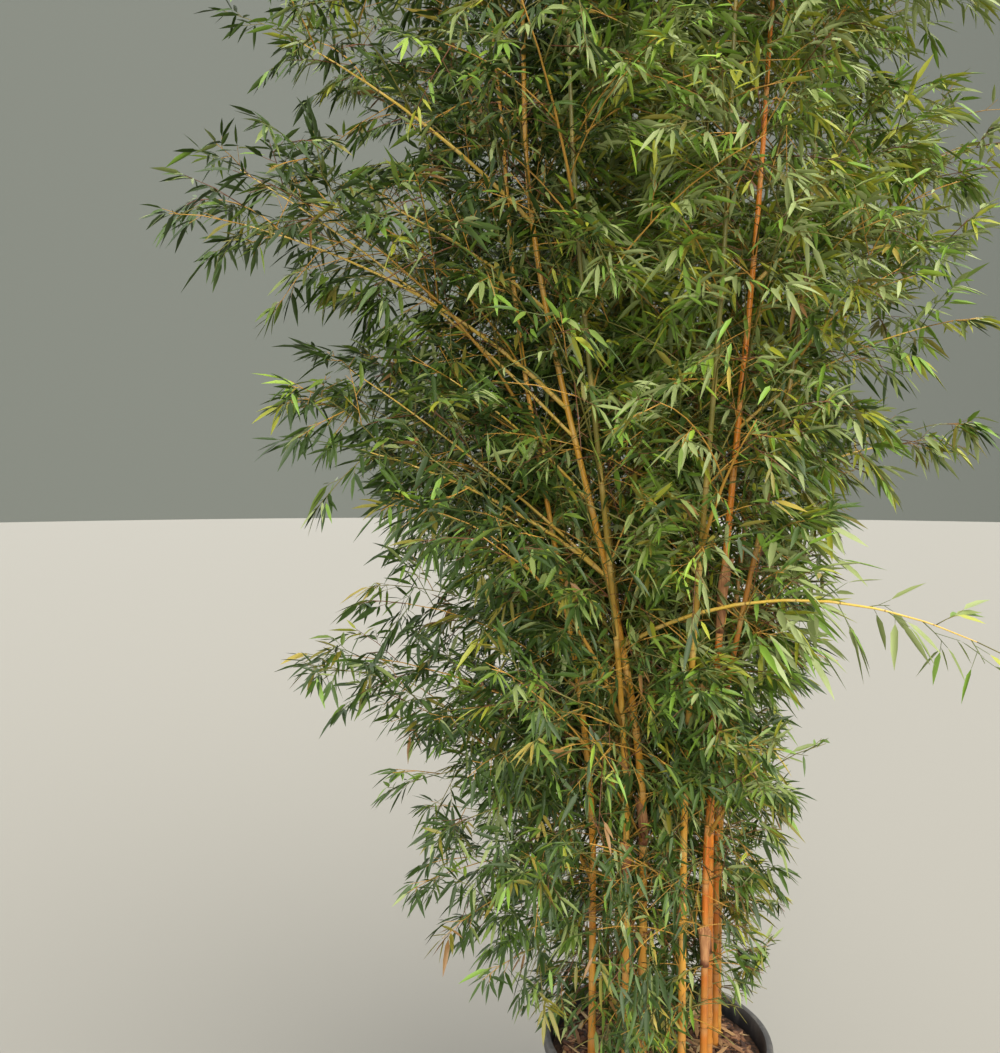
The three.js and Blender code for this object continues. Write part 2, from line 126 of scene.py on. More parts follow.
bm = bmesh.new()
bmesh.ops.create_grid(bm, x_segments=1, y_segments=1, size=FLOOR_HALF)
floor = new_object("floor", mesh_from("floor", bm))
bm = bmesh.new()
bmesh.ops.create_circle(bm, segments=WALL_SIDES, radius=WALL_AWAY)
for raised in bmesh.ops.extrude_edge_only(bm, edges=bm.edges[:])["geom"]:
    if isinstance(raised, bmesh.types.BMVert):
        raised.co.z = WALL_HIGH
wall = new_object("wall", smoothed(mesh_from("wall", bm)))
for kind in ("shadow", "diffuse", "glossy"):
    setattr(wall, f"visible_{kind}", False)
for sun in SUNS:
    light = bpy.data.lights.new(sun["name"], "SUN")
    light.angle = math.radians(sun["wide"])
    light.energy = sun["power"]
    light.color = sun["tint"]
    new_object(sun["name"], light).rotation_euler = Vector(sun["from"]).to_track_quat("Z", "Y").to_euler()

world = bpy.data.worlds.new("pale_sky")
world.use_nodes = True
background = world.node_tree.nodes["Background"]
background.inputs["Color"].default_value = SKY
background.inputs["Strength"].default_value = SKY_STRENGTH
bpy.context.scene.world = world
bpy.context.scene.view_settings.view_transform = "Standard"
print(len(SUNS), "broad suns")

# %% [markdown]
# ## Materials as sums
# A pattern is a small sum of masks: how far from a ring, how streaked, how dusty. Wiring such a sum by hand
# takes dozens of nodes. Here a socket is wrapped so that Python's own signs add the Math nodes, and one
# method makes every other kind of node.


# %% A socket that can be added, taken away and multiplied
# A Mix node has a set of sockets for each kind of value. These are the ones for colours.
MIX_LOW = 6
MIX_HIGH = 7
MIX_RESULT = 2


class Wire:
    """An output socket of a material's node tree, or the tree alone where nothing is wired yet."""

    def __init__(self, tree, socket=None):
        self.tree = tree
        self.socket = socket

    def node(self, kind, settings=None, inputs=None, output=0):
        made = self.tree.nodes.new(kind)
        for key, value in (settings or {}).items():
            setattr(made, key, value)
        for key, value in (inputs or {}).items():
            if isinstance(value, Wire):
                self.tree.links.new(value.socket, made.inputs[key])
            else:
                made.inputs[key].default_value = value
        return Wire(self.tree, made.outputs[output])

    def maths(self, operation, first, second):
        return self.node("ShaderNodeMath", {"operation": operation}, {0: first, 1: second})

    def __add__(self, other):
        return self.maths("ADD", self, other)

    def __sub__(self, other):
        return self.maths("SUBTRACT", self, other)

    def __rsub__(self, other):
        return self.maths("SUBTRACT", other, self)

    def __mul__(self, other):
        return self.maths("MULTIPLY", self, other)

    __radd__ = __add__
    __rmul__ = __mul__

    def step(self, low, high):
        """0 below low and 1 above high, with a soft step between."""
        inputs = {"Value": self, "From Min": low, "From Max": high}
        return self.node("ShaderNodeMapRange", {"interpolation_type": "SMOOTHSTEP"}, inputs)

    def noise(self, scale, detail=3.0, upright=1):
        """A cloudy pattern on this place. An upright below 1 draws it out upwards."""
        place = self.node("ShaderNodeMapping", None, {"Vector": self, "Scale": (1, 1, upright)})
        return self.node("ShaderNodeTexNoise", None, {"Vector": place, "Scale": scale, "Detail": detail})

    def blend(self, low, high):
        """The colour low where this mask is 0, and high where it is 1."""
        inputs = {0: self, MIX_LOW: low, MIX_HIGH: high}
        return self.node("ShaderNodeMix", {"data_type": "RGBA"}, inputs, output=MIX_RESULT)

    def bump(self, strength, distance):
        inputs = {"Strength": strength, "Distance": distance, "Height": self}
        return self.node("ShaderNodeBump", None, inputs)


def colour(red, green, blue):
    """A colour given as it is seen on a screen, 0 to 255, as the linear one that a shader takes."""
    shares = [value / 255 for value in (red, green, blue)]
    return (*[s / 12.92 if s <= 0.04045 else ((s + 0.055) / 1.055) ** 2.4 for s in shares], 1.0)


def new_finish(name, **values):
    """A material, and a Wire on its tree. Values go straight onto the shader's own sockets."""
    finish = bpy.data.materials.new(name)
    finish.use_nodes = True
    shader = finish.node_tree.nodes["Principled BSDF"]
    for key, value in values.items():
        shader.inputs[key.replace("_", " ")].default_value = value
    return finish, Wire(finish.node_tree)


def wire_up(finish, **links):
    shader = finish.node_tree.nodes["Principled BSDF"]
    for key, wire in links.items():
        finish.node_tree.links.new(wire.socket, shader.inputs[key.replace("_", " ")])


def object_place(wire):
    return wire.node("ShaderNodeTexCoord", output="Object")


def height_of(place):
    return place.node("ShaderNodeSeparateXYZ", None, {"Vector": place}, output="Z")


def coated(tone, *coats):
    """A tone with coats laid over it one by one, each a mask and a colour."""
    for mask, tint in coats:
        tone = mask.blend(tone, tint)
    return tone


def plain_finishes(kind, tints, roughness):
    """One plain finish for each name and colour of a list, for small things that are dealt a colour each."""
    made = []
    for name, tint in tints:
        made.append(new_finish(f"{kind}_{name}", Base_Color=colour(*tint), Roughness=roughness)[0])
    return made


floor.data.materials.append(new_finish("pale_floor", Base_Color=colour(140, 137, 130), Roughness=0.9)[0])
wall.data.materials.append(new_finish("grey_wall", Base_Color=colour(96, 100, 95), Roughness=0.9)[0])
print("the floor is", floor.data.materials[0].name)

# %% [markdown]
# ## The rule of the plant
# The source grows the plant from a few named sizes, and this cell repeats them in millimetres. Each cane
# leans, bends once and arches over at its tip. The crown is an egg that leans to the left. A bough leaves
# its cane at one rise and flattens out to another.

# %% Sizes of the rule
SEAT = 0.3
TUB_HEIGHT = 380
MIX_BELOW_RIM = 32
GROUND = TUB_HEIGHT - MIX_BELOW_RIM
CANE_RADIUS = 9.6
CANE_TALLEST = 3594
CANE_SHORTEST = 2750
CANE_TAPER = 0.82
CANE_FLARE = 0.16
CANE_FLARE_HEIGHT = 60
BEND_FROM = 0.15
BEND_TO = 0.62
ARCH_POWER = 4
NOD = 0.45
PLUME_FROM = 0.8
CROWN_RADIUS = 880
CROWN_MIDDLE = 2350
CROWN_HALF_HEIGHT = 1950
CROWN_LEAN = 0.17
NARROW_SIDE = -25
NARROWEST = 0.52
NARROW_TURN = (-0.1, 0.75)
NARROW_FROM = (2900, 1500)
BOUGH_RADIUS = 5.2
STEM_RADIUS = 5.4
STEM_STEPS = 4
TIP_RADIUS = 3
STEM_CLEAR = 14
SIDE_MASSES = 18
SHORTEST_STEM = 240
STEM_CLIMB = 300
STEM_SHARE = 0.8
SOURCE_LEAF = 275
LEAF_ROOM = 0.8 * SOURCE_LEAF
LOWEST_MASS = 500
HIGHEST_MASS = 2640
GOLDEN_ANGLE = 137.5
FIRST_ANGLE = 262
SIDE_RISE_LOW = 70
SIDE_RISE_HIGH = 52
SIDE_TIP_RISE = 22
TURN = 9
TURNS = 20
LIMB_POINTS = 9
SEEN_CANES = rows(
    "foot bend arch height radius",
    ((-45, -80), (-255, -20), (-60, -80), 3330, 10.2),
    ((-60, 20), (-115, 10), (80, 40), 3150, 8.8),
    ((105, -60), (70, -30), (150, -60), 3400, 10.4),
    ((-152, -40), (-160, -60), (-190, -90), 2950, 8.6),
    ((135, 0), (110, 40), (130, 60), 3050, 7.8),
    ((85, -112), (150, -90), (110, -130), 2880, 8.2),
)
RINGS = rows("count first step radii", (6, 18, 28, (160, 88)), (2, 236, 44, (160, 160)))
RING_BEND = (0.7, 1.4)
RING_ARCH = (1, 1.9)
RING_THINNER = (0.78, 1)
TALLEST_CANE = 8
BOUGHS = rows(
    "name cane height turn rise tip length",
    ("left_low", 0, 1440, 196, 40, 14, 600),
    ("left_high", 0, 1800, 192, 44, 12, 760),
    ("left_top", 0, 2190, 200, 42, 22, 560),
    ("right_arching", 0, 1290, -26, 34, -24, 720),
    ("right_middle", 4, 1560, 8, 46, 4, 420),
    ("right_high", 2, 2060, -8, 48, 12, 440),
)
SEED = 4711
UP = np.array([0.0, 0.0, 1.0])
print(len(SEEN_CANES), "canes stand in view and", len(BOUGHS), "boughs are long")


# %% Lines of the rule
def seeded(seed):
    """The source's own stream of numbers from 0 to 1, made by mixing words of 32 bits."""
    word = 2**32
    state = seed

    def times(a, b):
        return (a * b) % word

    while True:
        state = (state + 0x6D2B79F5) % word
        mixed = times(state ^ (state >> 15), state | 1)
        mixed ^= (mixed + times(mixed ^ (mixed >> 7), mixed | 61)) % word
        yield ((mixed ^ (mixed >> 14)) % word) / word


def lerp(low, high, share):
    return low + (high - low) * share


def unit(vectors):
    return vectors / np.linalg.norm(vectors, axis=-1, keepdims=True)


def smooth_step(low, high, value):
    share = np.clip((value - low) / (high - low), 0, 1)
    return share * share * (3 - 2 * share)


def eased(low, high, part, value):
    """From low to high while the value crosses a part of its range."""
    return lerp(low, high, smooth_step(*part, value))


def heading_of(degrees):
    turned = np.radians(degrees)
    return np.stack([np.cos(turned), np.sin(turned), np.zeros_like(turned)], -1)


def cane_point(cane, share):
    """Where a cane's middle is at a share of its height, or at each of several."""
    share = np.asarray(share, float)
    bent = smooth_step(BEND_FROM, BEND_TO, share)
    arched = share**ARCH_POWER
    across = [cane["foot"][i] + cane["bend"][i] * bent + cane["arch"][i] * arched for i in (0, 1)]
    nod = NOD * math.hypot(*cane["arch"]) * arched * share
    return np.stack([*across, GROUND + SEAT + cane["height"] * share - nod], -1)


def cane_radius(cane, share):
    flare = CANE_FLARE * np.exp(-share * cane["height"] / CANE_FLARE_HEIGHT)
    return cane["radius"] * (1 - CANE_TAPER * share + flare)


def ring_cane(degrees, ring, draws):
    def away(length):
        return tuple(length * heading_of(degrees)[:2])

    return {
        "foot": away(ring),
        "bend": away(ring * lerp(*RING_BEND, next(draws))),
        "arch": away(ring * lerp(*RING_ARCH, next(draws))),
        "height": lerp(CANE_SHORTEST, CANE_TALLEST, next(draws)),
        "radius": CANE_RADIUS * lerp(*RING_THINNER, next(draws)),
    }


def arching_line(root, degrees, rise, tip, length, steps):
    slopes = np.radians(lerp(rise, tip, (np.arange(steps) + 0.5) / steps))[:, None]
    moves = (heading_of(degrees) * np.cos(slopes) + UP * np.sin(slopes)) * length / steps
    return np.concatenate([root[None], root + np.cumsum(moves, axis=0)])


def crown_reach(height, degrees):
    up = (height - CROWN_MIDDLE) / CROWN_HALF_HEIGHT
    wide = np.sqrt(np.maximum(1 - up * up, 0))
    return CROWN_RADIUS * wide * (1 - CROWN_LEAN * np.cos(np.radians(degrees)))


def shown_reach(height, degrees):
    """The reach that the picture shows. To the right and the front it is narrower, most of all low down."""
    right = smooth_step(*NARROW_TURN, np.cos(np.radians(degrees - NARROW_SIDE)))
    return crown_reach(height, degrees) * (1 - NARROWEST * right * smooth_step(*NARROW_FROM, height))


def out_and_turn(places):
    """How far places are from the plant's middle line, and their azimuths in degrees."""
    x = places[:, 0]
    y = places[:, 1]
    return np.hypot(x, y), np.degrees(np.arctan2(y, x))


def distance_to(line, radii, places):
    """How far each place is from the surface of a limb."""
    moves = np.diff(line, axis=0)
    off = places[:, None] - line[:-1]
    share = np.clip((off * moves).sum(-1) / (moves * moves).sum(-1), 0, 1)
    gaps = np.linalg.norm(off - share[..., None] * moves, axis=-1)
    return (gaps - np.maximum(radii[:-1], radii[1:])).min(-1)


canes = [dict(cane) for cane in SEEN_CANES]
draws = seeded(SEED)
for ring in RINGS:
    for i in range(ring["count"]):
        canes.append(ring_cane(ring["first"] + ring["step"] * i, ring["radii"][i % 2], draws))
canes[TALLEST_CANE]["height"] = CANE_TALLEST
print(len(canes), "canes, the tallest tip at", round(cane_point(canes[TALLEST_CANE], 1)[2]), "mm")


# %% Stems of the masses
def tapered(count, thick, thin):
    return np.linspace(thick, thin, count)


def share_at(cane, height):
    return (height - GROUND) / cane["height"]


def bough_line(bough, steps):
    cane = canes[bough["cane"]]
    root = cane_point(cane, share_at(cane, bough["height"]))
    return arching_line(root, bough["turn"], bough["rise"], bough["tip"], bough["length"], steps)


def side_stem(i, canes, taken):
    """The stem of a side mass, on the cane that stands furthest out its way, turned until it is clear."""
    share = i / (SIDE_MASSES - 1)
    height = lerp(LOWEST_MASS, HIGHEST_MASS, share)
    rise = lerp(SIDE_RISE_LOW, SIDE_RISE_HIGH, share)
    slope = math.radians((rise + SIDE_TIP_RISE) / 2)
    roots = np.array([cane_point(cane, share_at(cane, height)) for cane in canes])
    for turn in range(TURNS):
        degrees = FIRST_ANGLE + GOLDEN_ANGLE * i + (TURN if turn % 2 else -TURN) * turn
        reaches = roots @ heading_of(degrees)
        chosen = int(reaches.argmax())
        room = crown_reach(height + STEM_CLIMB, degrees) - reaches[chosen] - LEAF_ROOM
        length = max(room / math.cos(slope), SHORTEST_STEM)
        line = arching_line(roots[chosen], degrees, rise, SIDE_TIP_RISE, length, STEM_STEPS)
        places = np.concatenate([line, (line[1:] + line[:-1]) / 2])
        others = [limb for j, limb in enumerate(cane_limbs) if j != chosen] + taken
        if all((distance_to(*limb, places) > STEM_CLEAR).all() for limb in others):
            there = cane_radius(canes[chosen], share_at(canes[chosen], height))
            return line, tapered(STEM_STEPS + 1, min(STEM_RADIUS, STEM_SHARE * there), TIP_RADIUS)
    return None


cane_limbs = []
plumes = []
for cane in canes:
    lower = np.linspace(0, PLUME_FROM, LIMB_POINTS)
    cane_limbs.append((cane_point(cane, lower), cane_radius(cane, lower)))
    upper = cane_point(cane, np.linspace(PLUME_FROM, 1, STEM_STEPS + 1))
    plumes.append((upper, tapered(STEM_STEPS + 1, cane_radius(cane, PLUME_FROM), TIP_RADIUS)))
bough_lines = [bough_line(bough, 2 * STEM_STEPS) for bough in BOUGHS]
long_boughs = [(line, tapered(len(line), BOUGH_RADIUS, TIP_RADIUS)) for line in bough_lines]
side_stems = []
for i in range(SIDE_MASSES):
    found = side_stem(i, canes, long_boughs + plumes + side_stems)
    if found:
        side_stems.append(found)
print(len(plumes), "plumes,", len(long_boughs), "long boughs and", len(side_stems), "side stems")

# %% [markdown]
# ## Canes
# A bamboo cane is a row of hollow lengths between rings. Under each ring the old sheath left a sharp scar
# and a breath of white bloom, over it the wall swells to a soft ridge, and a shallow groove runs up from
# each branch. A curve with a round bevel would be smooth all along. Here the profile with its rings is spun
# like a chair leg on a lathe, and the straight stick is then bent to the line of the cane.

# %% Turn a profile on a lathe, and bend the result
MM = 0.001
MERGED = 1e-5


def turned(profile, steps):
    """A closed solid from a profile of radius and height, spun about Z."""
    bm = bmesh.new()
    corners = [bm.verts.new((radius, 0, height)) for radius, height in profile]
    edges = [bm.edges.new(pair) for pair in zip(corners, corners[1:])]
    spun = {"cent": (0, 0, 0), "axis": (0, 0, 1), "angle": 2 * math.pi, "steps": steps, "use_merge": True}
    bmesh.ops.spin(bm, geom=corners + edges, **spun)
    bmesh.ops.remove_doubles(bm, verts=bm.verts, dist=MERGED)
    bmesh.ops.recalc_face_normals(bm, faces=bm.faces)
    return bm


def places_of(mesh):
    flat = np.zeros(len(mesh.vertices) * 3)
    mesh.vertices.foreach_get("co", flat)
    return flat.reshape(-1, 3)


def set_places(mesh, places):
    mesh.vertices.foreach_set("co", np.asarray(places, np.float32).ravel())
    mesh.update()


def reached_along(line):
    return np.concatenate([[0], np.cumsum(np.linalg.norm(np.diff(line, axis=0), axis=1))])


def length_of(line):
    return reached_along(line)[-1]


def along(line, distances):
    """Places on a line, and the way that it runs there."""
    reached = reached_along(line)
    ways = unit(np.gradient(line, axis=0))
    place = np.stack([np.interp(distances, reached, line[:, i]) for i in range(3)], -1)
    way = np.stack([np.interp(distances, reached, ways[:, i]) for i in range(3)], -1)
    return place, unit(way)


# Height from the ring as a share of the radius, and how far the wall stands out there.
RING_RELIEF = [(-0.9, 0.0), (-0.3, 0.012), (-0.14, 0.10), (-0.07, 0.02), (0.1, 0.07), (0.35, 0.10), (0.9, 0)]
GROOVE_DEPTH = 0.10
GROOVE_WIDTH = 0.55
GROOVE_START = (0.02, 0.1)
QUARTERS = (0.25, 0.5, 0.75)
RING_FAR = 0.2


def jointed_limb(name, line, radius_at, joints, turns, sides):
    """A limb with its rings, made straight and then bent to a line. turns is where each branch stands."""
    length = length_of(line)
    heights = [0, length]
    bulges = [0, 0]
    ends = [0, *joints, length]
    for low, high in zip(ends, ends[1:]):
        heights += [lerp(low, high, share) for share in QUARTERS]
        bulges += [0] * len(QUARTERS)
    for joint in joints:
        here = radius_at(joint / length)
        heights += [joint + rise * here for rise, _ in RING_RELIEF]
        bulges += [bulge for _, bulge in RING_RELIEF]
    order = np.argsort(heights)
    heights = np.clip(np.array(heights)[order], 0, length)
    radii = radius_at(heights / length) * (1 + np.array(bulges)[order])
    mesh = mesh_from(name, turned([(0, 0), *zip(radii, heights), (0, length)], sides))
    straight = places_of(mesh)
    height = np.clip(straight[:, 2], 0, length)
    last = np.searchsorted(joints, height - MERGED, side="right")
    below = np.array([*joints, length])[last] - height
    above = height - np.array([0, *joints])[last]
    round_at = np.arctan2(straight[:, 1], straight[:, 0]) - np.array([0, *turns])[last]
    off = np.angle(np.exp(1j * round_at)) / GROOVE_WIDTH
    gap = np.maximum(above + below, 1)
    groove = GROOVE_DEPTH * np.exp(-off * off) * smooth_step(*GROOVE_START, above / gap) * (below / gap)
    place, way = along(line, height)
    across = unit(np.array([1.0, 0, 0]) - way * way[:, :1])
    through = np.cross(way, across)
    thick = (1 - groove)[:, None]
    bent = place + thick * (across * straight[:, :1] + through * straight[:, 1:2])
    set_places(mesh, bent * MM)
    for key, values in (("above_ring", above), ("below_ring", below)):
        kept = mesh.attributes.new(key, "FLOAT", "POINT")
        kept.data.foreach_set("value", np.clip(values * MM, 0, RING_FAR).astype(np.float32))
    return smoothed(mesh)


# %% The canes' finishes
RING_BROWN = colour(104, 60, 28)
BLOOM = colour(220, 192, 126)
PALE_FOOT = colour(206, 176, 92)
SPOT_BROWN = colour(112, 74, 34)
FOOT_DARK = colour(152, 92, 36)
OLIVE_CANE = colour(120, 122, 50)
LEAFY_CANE = colour(76, 90, 36)
# Heights in metres between which a cane turns greener, loses its bloom and stops turning darker towards its
# foot.
GREENER_AT = (0.7, 1.9)
BLOOM_TO = (0.9, 2.1)
FOOT_DARK_TO = (0.36, 1.0)
# The light and the deep colour of a kind of cane, its colour near the top, and how far it turns to that.
CANE_TINTS = {
    "gold": (colour(246, 184, 64), colour(224, 144, 40), OLIVE_CANE, 0.3),
    # The next kind is the right cane's own colour made brighter, as painted sunlight on it. The shaded kind
    # is a darker copy of it, as painted shade on the canes far right.
    "sunlit_orange": (colour(255, 160, 52), colour(246, 128, 36), OLIVE_CANE, 0.08),
    "straw": (colour(226, 182, 74), colour(186, 142, 48), OLIVE_CANE, 0.5),
    "young": (colour(238, 180, 66), colour(206, 140, 44), LEAFY_CANE, 0.9),
    "shaded": (colour(236, 138, 46), colour(206, 106, 34), LEAFY_CANE, 0.9),
}


def cane_finish(name, light, deep, upper, greener):
    finish, wire = new_finish(name, Specular_IOR_Level=0.5)
    place = object_place(wire)
    above = wire.node("ShaderNodeAttribute", {"attribute_name": "above_ring"}, output="Fac")
    below = wire.node("ShaderNodeAttribute", {"attribute_name": "below_ring"}, output="Fac")
    streaks = place.noise(420, 4, 0.03)
    clouds = place.noise(7, 3, 0.6)
    spots = place.noise(150, 2, 0.35).step(0.66, 0.74)
    shade = (streaks * 0.5 + clouds * 0.8).step(0.35, 0.95)
    pale_foot = (1 - above.step(0.004, 0.05)) * 0.4
    bloom = (1 - below.step(0.002, 0.028)) * (0.2 + streaks * 0.6)
    ring = 1 - above.step(0.0007, 0.0022)
    scar = 1 - below.step(0.0006, 0.0016)
    height = height_of(place)
    # Darker and browner towards the foot of the cane, in clouds.
    darker_foot = (1 - height.step(*FOOT_DARK_TO)) * (0.42 + clouds * 0.5)
    tone = coated(
        shade.blend(light, deep),
        (height.step(*GREENER_AT) * greener, upper),
        (pale_foot, PALE_FOOT),
        (spots * 0.5, SPOT_BROWN),
        (bloom * (1 - height.step(*BLOOM_TO) * greener), BLOOM),
        (darker_foot, FOOT_DARK),
        ((ring + scar).step(0, 1) * 0.85, RING_BROWN),
    )
    rough = 0.3 + bloom * 0.4 + clouds * 0.12 + spots * 0.2
    wire_up(finish, Base_Color=tone, Roughness=rough, Normal=streaks.bump(0.25, 0.0006))
    return finish


cane_finishes = {name: cane_finish(f"cane_{name}", *tints) for name, tints in CANE_TINTS.items()}
print("cane finishes:", ", ".join(cane_finishes))

# %% Make the canes
CANE_SIDES = 12
FIRST_JOINT = 45
JOINT_GAPS = (62, 168, 92)
CANE_TIP = 1.4
RANK_TURN = 23
RANK_VARIES = 14
GAP_VARIES = (0.88, 1.12)
CLOSE_AT_FOOT = (0, 0.3)
CLOSE_AT_TIP = (0.6, 1)
CANE_POINTS = 160
rng = np.random.default_rng(SEED)


def swing(widest, count=None):
    """A seeded draw to either side of nothing, or several of them."""
    return rng.uniform(-widest, widest, count)


def joints_of(length, gaps):
    """Rings along a limb: close together at its foot, wide apart in its middle, and close at its tip."""
    at = FIRST_JOINT
    joints = []
    while at < length - gaps[2] / 2:
        joints.append(at)
        share = at / length
        gap = eased(gaps[0], gaps[1], CLOSE_AT_FOOT, share)
        gap = eased(gap, gaps[2], CLOSE_AT_TIP, share)
        at += gap * rng.uniform(*GAP_VARIES)
    return np.array(joints)


def whole_cane_radius(cane):
    """The radius at a share of the cane's length: the cane's own, and then its stem through the plume."""
    top = cane_radius(cane, PLUME_FROM)

    def radius_at(share):
        fine = lerp(top, CANE_TIP, np.clip((share - PLUME_FROM) / (1 - PLUME_FROM), 0, 1))
        return np.where(share < PLUME_FROM, cane_radius(cane, share), fine)

    return radius_at


cane_lines = [cane_point(cane, np.linspace(0, 1, CANE_POINTS)) for cane in canes]
cane_joints = []
cane_turns = []
cane_meshes = []
for i, cane in enumerate(canes):
    joints = joints_of(length_of(cane_lines[i]), JOINT_GAPS)
    ranks = np.arange(len(joints)) * (180 + RANK_TURN)
    turns = rng.uniform(0, 360) + ranks + rng.normal(0, RANK_VARIES, len(joints))
    shape = (cane_lines[i], whole_cane_radius(cane), joints, np.radians(turns), CANE_SIDES)
    cane_meshes.append(jointed_limb(f"cane_{i + 1:02d}", *shape))
    cane_joints.append(joints)
    cane_turns.append(turns)
print(sum(len(joints) for joints in cane_joints), "rings on", len(canes), "canes")


# %% Join meshes and hand a piece over
def joined(name, meshes):
    bm = bmesh.new()
    for mesh in meshes:
        bm.from_mesh(mesh)
    whole = mesh_from(name, bm)
    for mesh in meshes:
        bpy.data.meshes.remove(mesh)
    return whole


def hand_over(name, mesh, finishes, nodes=()):
    """One piece of the plant: its object, its finishes and the solids that it stands for."""
    piece = new_object(name, mesh)
    for finish in finishes:
        mesh.materials.append(finish)
    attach(piece, "root")
    if nodes:
        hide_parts(*nodes)
    mesh.calc_loop_triangles()
    print(name, "has", len(mesh.loop_triangles), "triangles")


CANE_PIECES = [
    ("culm_left", [0], "gold"),
    ("culm_second", [1], "straw"),
    ("culm_right", [2], "sunlit_orange"),
    ("culm_far_left", [3], "gold"),
    ("culm_far_right", [4, 5], "shaded"),
    ("culms_back_right", [6, 7, 8], "gold"),
    ("culms_back_left", [9, 10, 11], "straw"),
    ("culms_front", [12, 13], "young"),
]
for name, members, tint in CANE_PIECES:
    mesh = joined(name, [cane_meshes[i] for i in members])
    hand_over(name, mesh, [cane_finishes[tint]], [f"cane_{i + 1:02d}" for i in members])

# %% [markdown]
# ## Boughs
# The six long boughs that show against the leaves are made like the canes, thinner and with closer rings.
# Each one runs on through its mass to the tip. A few slimmer limbs that the picture shows beside them are
# made the same way, as tubes of five sides would look too plain there.

# %% Make the boughs
BOUGH_SIDES = 9
BOUGH_POINTS = 60
BOUGH_GAPS = (64, 92, 60)
BOUGH_TIP = 1.1
SLIM_RADIUS = 3.9
BRANCH_STEPS = 6
SLIM_BOUGHS = rows(
    "cane height turn rise tip length",
    (0, 1440, 190, 44, 33, 700),
    (0, 1740, 186, 46, 30, 880),
    (0, 2010, 196, 38, 18, 470),
    (0, 1600, 214, 44, 26, 430),
    (1, 1590, -16, 50, 40, 360),
    (2, 1760, -24, 44, 12, 420),
)


def bough_mesh(line, thick):
    def radius_at(share):
        return lerp(thick, BOUGH_TIP, share)

    length = length_of(line)
    fine = along(line, np.linspace(0, length, BOUGH_POINTS))[0]
    joints = joints_of(length, BOUGH_GAPS)
    turns = np.radians(rng.uniform(0, 360) + 180 * np.arange(len(joints)))
    return jointed_limb("bough", fine, radius_at, joints, turns, BOUGH_SIDES)


slim_lines = [bough_line(slim, BRANCH_STEPS) for slim in SLIM_BOUGHS]
bough_meshes = [bough_mesh(line, BOUGH_RADIUS) for line in bough_lines]
bough_meshes += [bough_mesh(line, SLIM_RADIUS) for line in slim_lines]
bough_finish = cane_finish("bough_olive_gold", colour(238, 200, 88), colour(204, 164, 62), OLIVE_CANE, 0.1)
bough_nodes = [f"bough_{bough['name']}" for bough in BOUGHS]
hand_over("long_boughs", joined("long_boughs", bough_meshes), [bough_finish], bough_nodes)

# %% [markdown]
# ## Branches, twigs and sprays
# On the real plant every ring of a cane carries a pair of branches, to one side and then to the other. Each
# branch arches out, and its twigs leave it by turns and end in fans of leaves. Hanging leaves on a few large
# limbs by a particle system would be quick, but the export drops particles. So the rule goes on: every line
# here is worked out with arrays, thousands at a time.

# %% Branches at the rings
LEAFY_FROM = 405
SHOOT_GAP = 105
SHOOT_SIZE = 0.42
BRANCH_RADIUS = 2.9
BRANCH_TIP = 0.9
BRANCH_LONGEST = (760, 330)
BRANCH_SHORTEST = 110
BRANCH_VARIES = (0.72, 1.0)
SHORTEST_VARIES = (0.7, 1.2)
SHORTER_UPWARDS = 1.5
BRANCH_RISE = (58, 36)
LOWEST_RISE = 0.2
LOW_PART = (400, 850)
LOW_BRANCHES = 0.5
LOW_SKIRT = (400, 900)
BRANCH_DROP = 34
DROP_VARIES = (0.6, 1.4)
CLIMB_SHARE = 0.6
SECOND_BRANCH = 0.66
THIRD_BRANCH = 0.42
PAIR_TURN = 42
PAIR_VARIES = (0.7, 1.3)
OUTER_ROOM = 95
SHOOT_FIRST = 0.2
SHOOT_TURN = 52
SHOOT_VARIES = 15
STEM_SAMPLES = 40
STEM_KEPT = 10
FREE_BOUGH = 3


def branch_at(place, degrees, share, size):
    """A branch that arches out from a ring and ends inside the crown's reach."""
    rise = lerp(*BRANCH_RISE, rng.uniform()) * eased(LOWEST_RISE, 1, LOW_PART, place[2])
    tip = rise - BRANCH_DROP * rng.uniform(*DROP_VARIES)
    slope = math.radians((rise + tip) / 2)
    longest = lerp(*BRANCH_LONGEST, share**SHORTER_UPWARDS) * size
    climb = longest * math.sin(slope) * CLIMB_SHARE
    room = shown_reach(place[2] + climb, degrees) - place @ heading_of(degrees) - OUTER_ROOM
    length = min(room / math.cos(slope), longest) * rng.uniform(*BRANCH_VARIES)
    if length < BRANCH_SHORTEST:
        length = BRANCH_SHORTEST * rng.uniform(*SHORTEST_VARIES)
    line = arching_line(place, degrees, rise, tip, length, BRANCH_STEPS)
    thick = lerp(BRANCH_TIP, BRANCH_RADIUS, min(length / BRANCH_LONGEST[0], 1))
    return line, tapered(BRANCH_STEPS + 1, thick, BRANCH_TIP)


def cut_to_crown(line):
    """A stem that ends where it would leave the crown that the picture shows."""
    fine = along(line, np.linspace(0, length_of(line), STEM_SAMPLES))[0]
    out, azimuths = out_and_turn(fine)
    outside = out > shown_reach(fine[:, 2], azimuths)
    last = max(int(outside.argmax()), STEM_KEPT) if outside.any() else STEM_SAMPLES - 1
    return along(fine, np.linspace(0, length_of(fine[: last + 1]), STEM_STEPS + 1))[0]


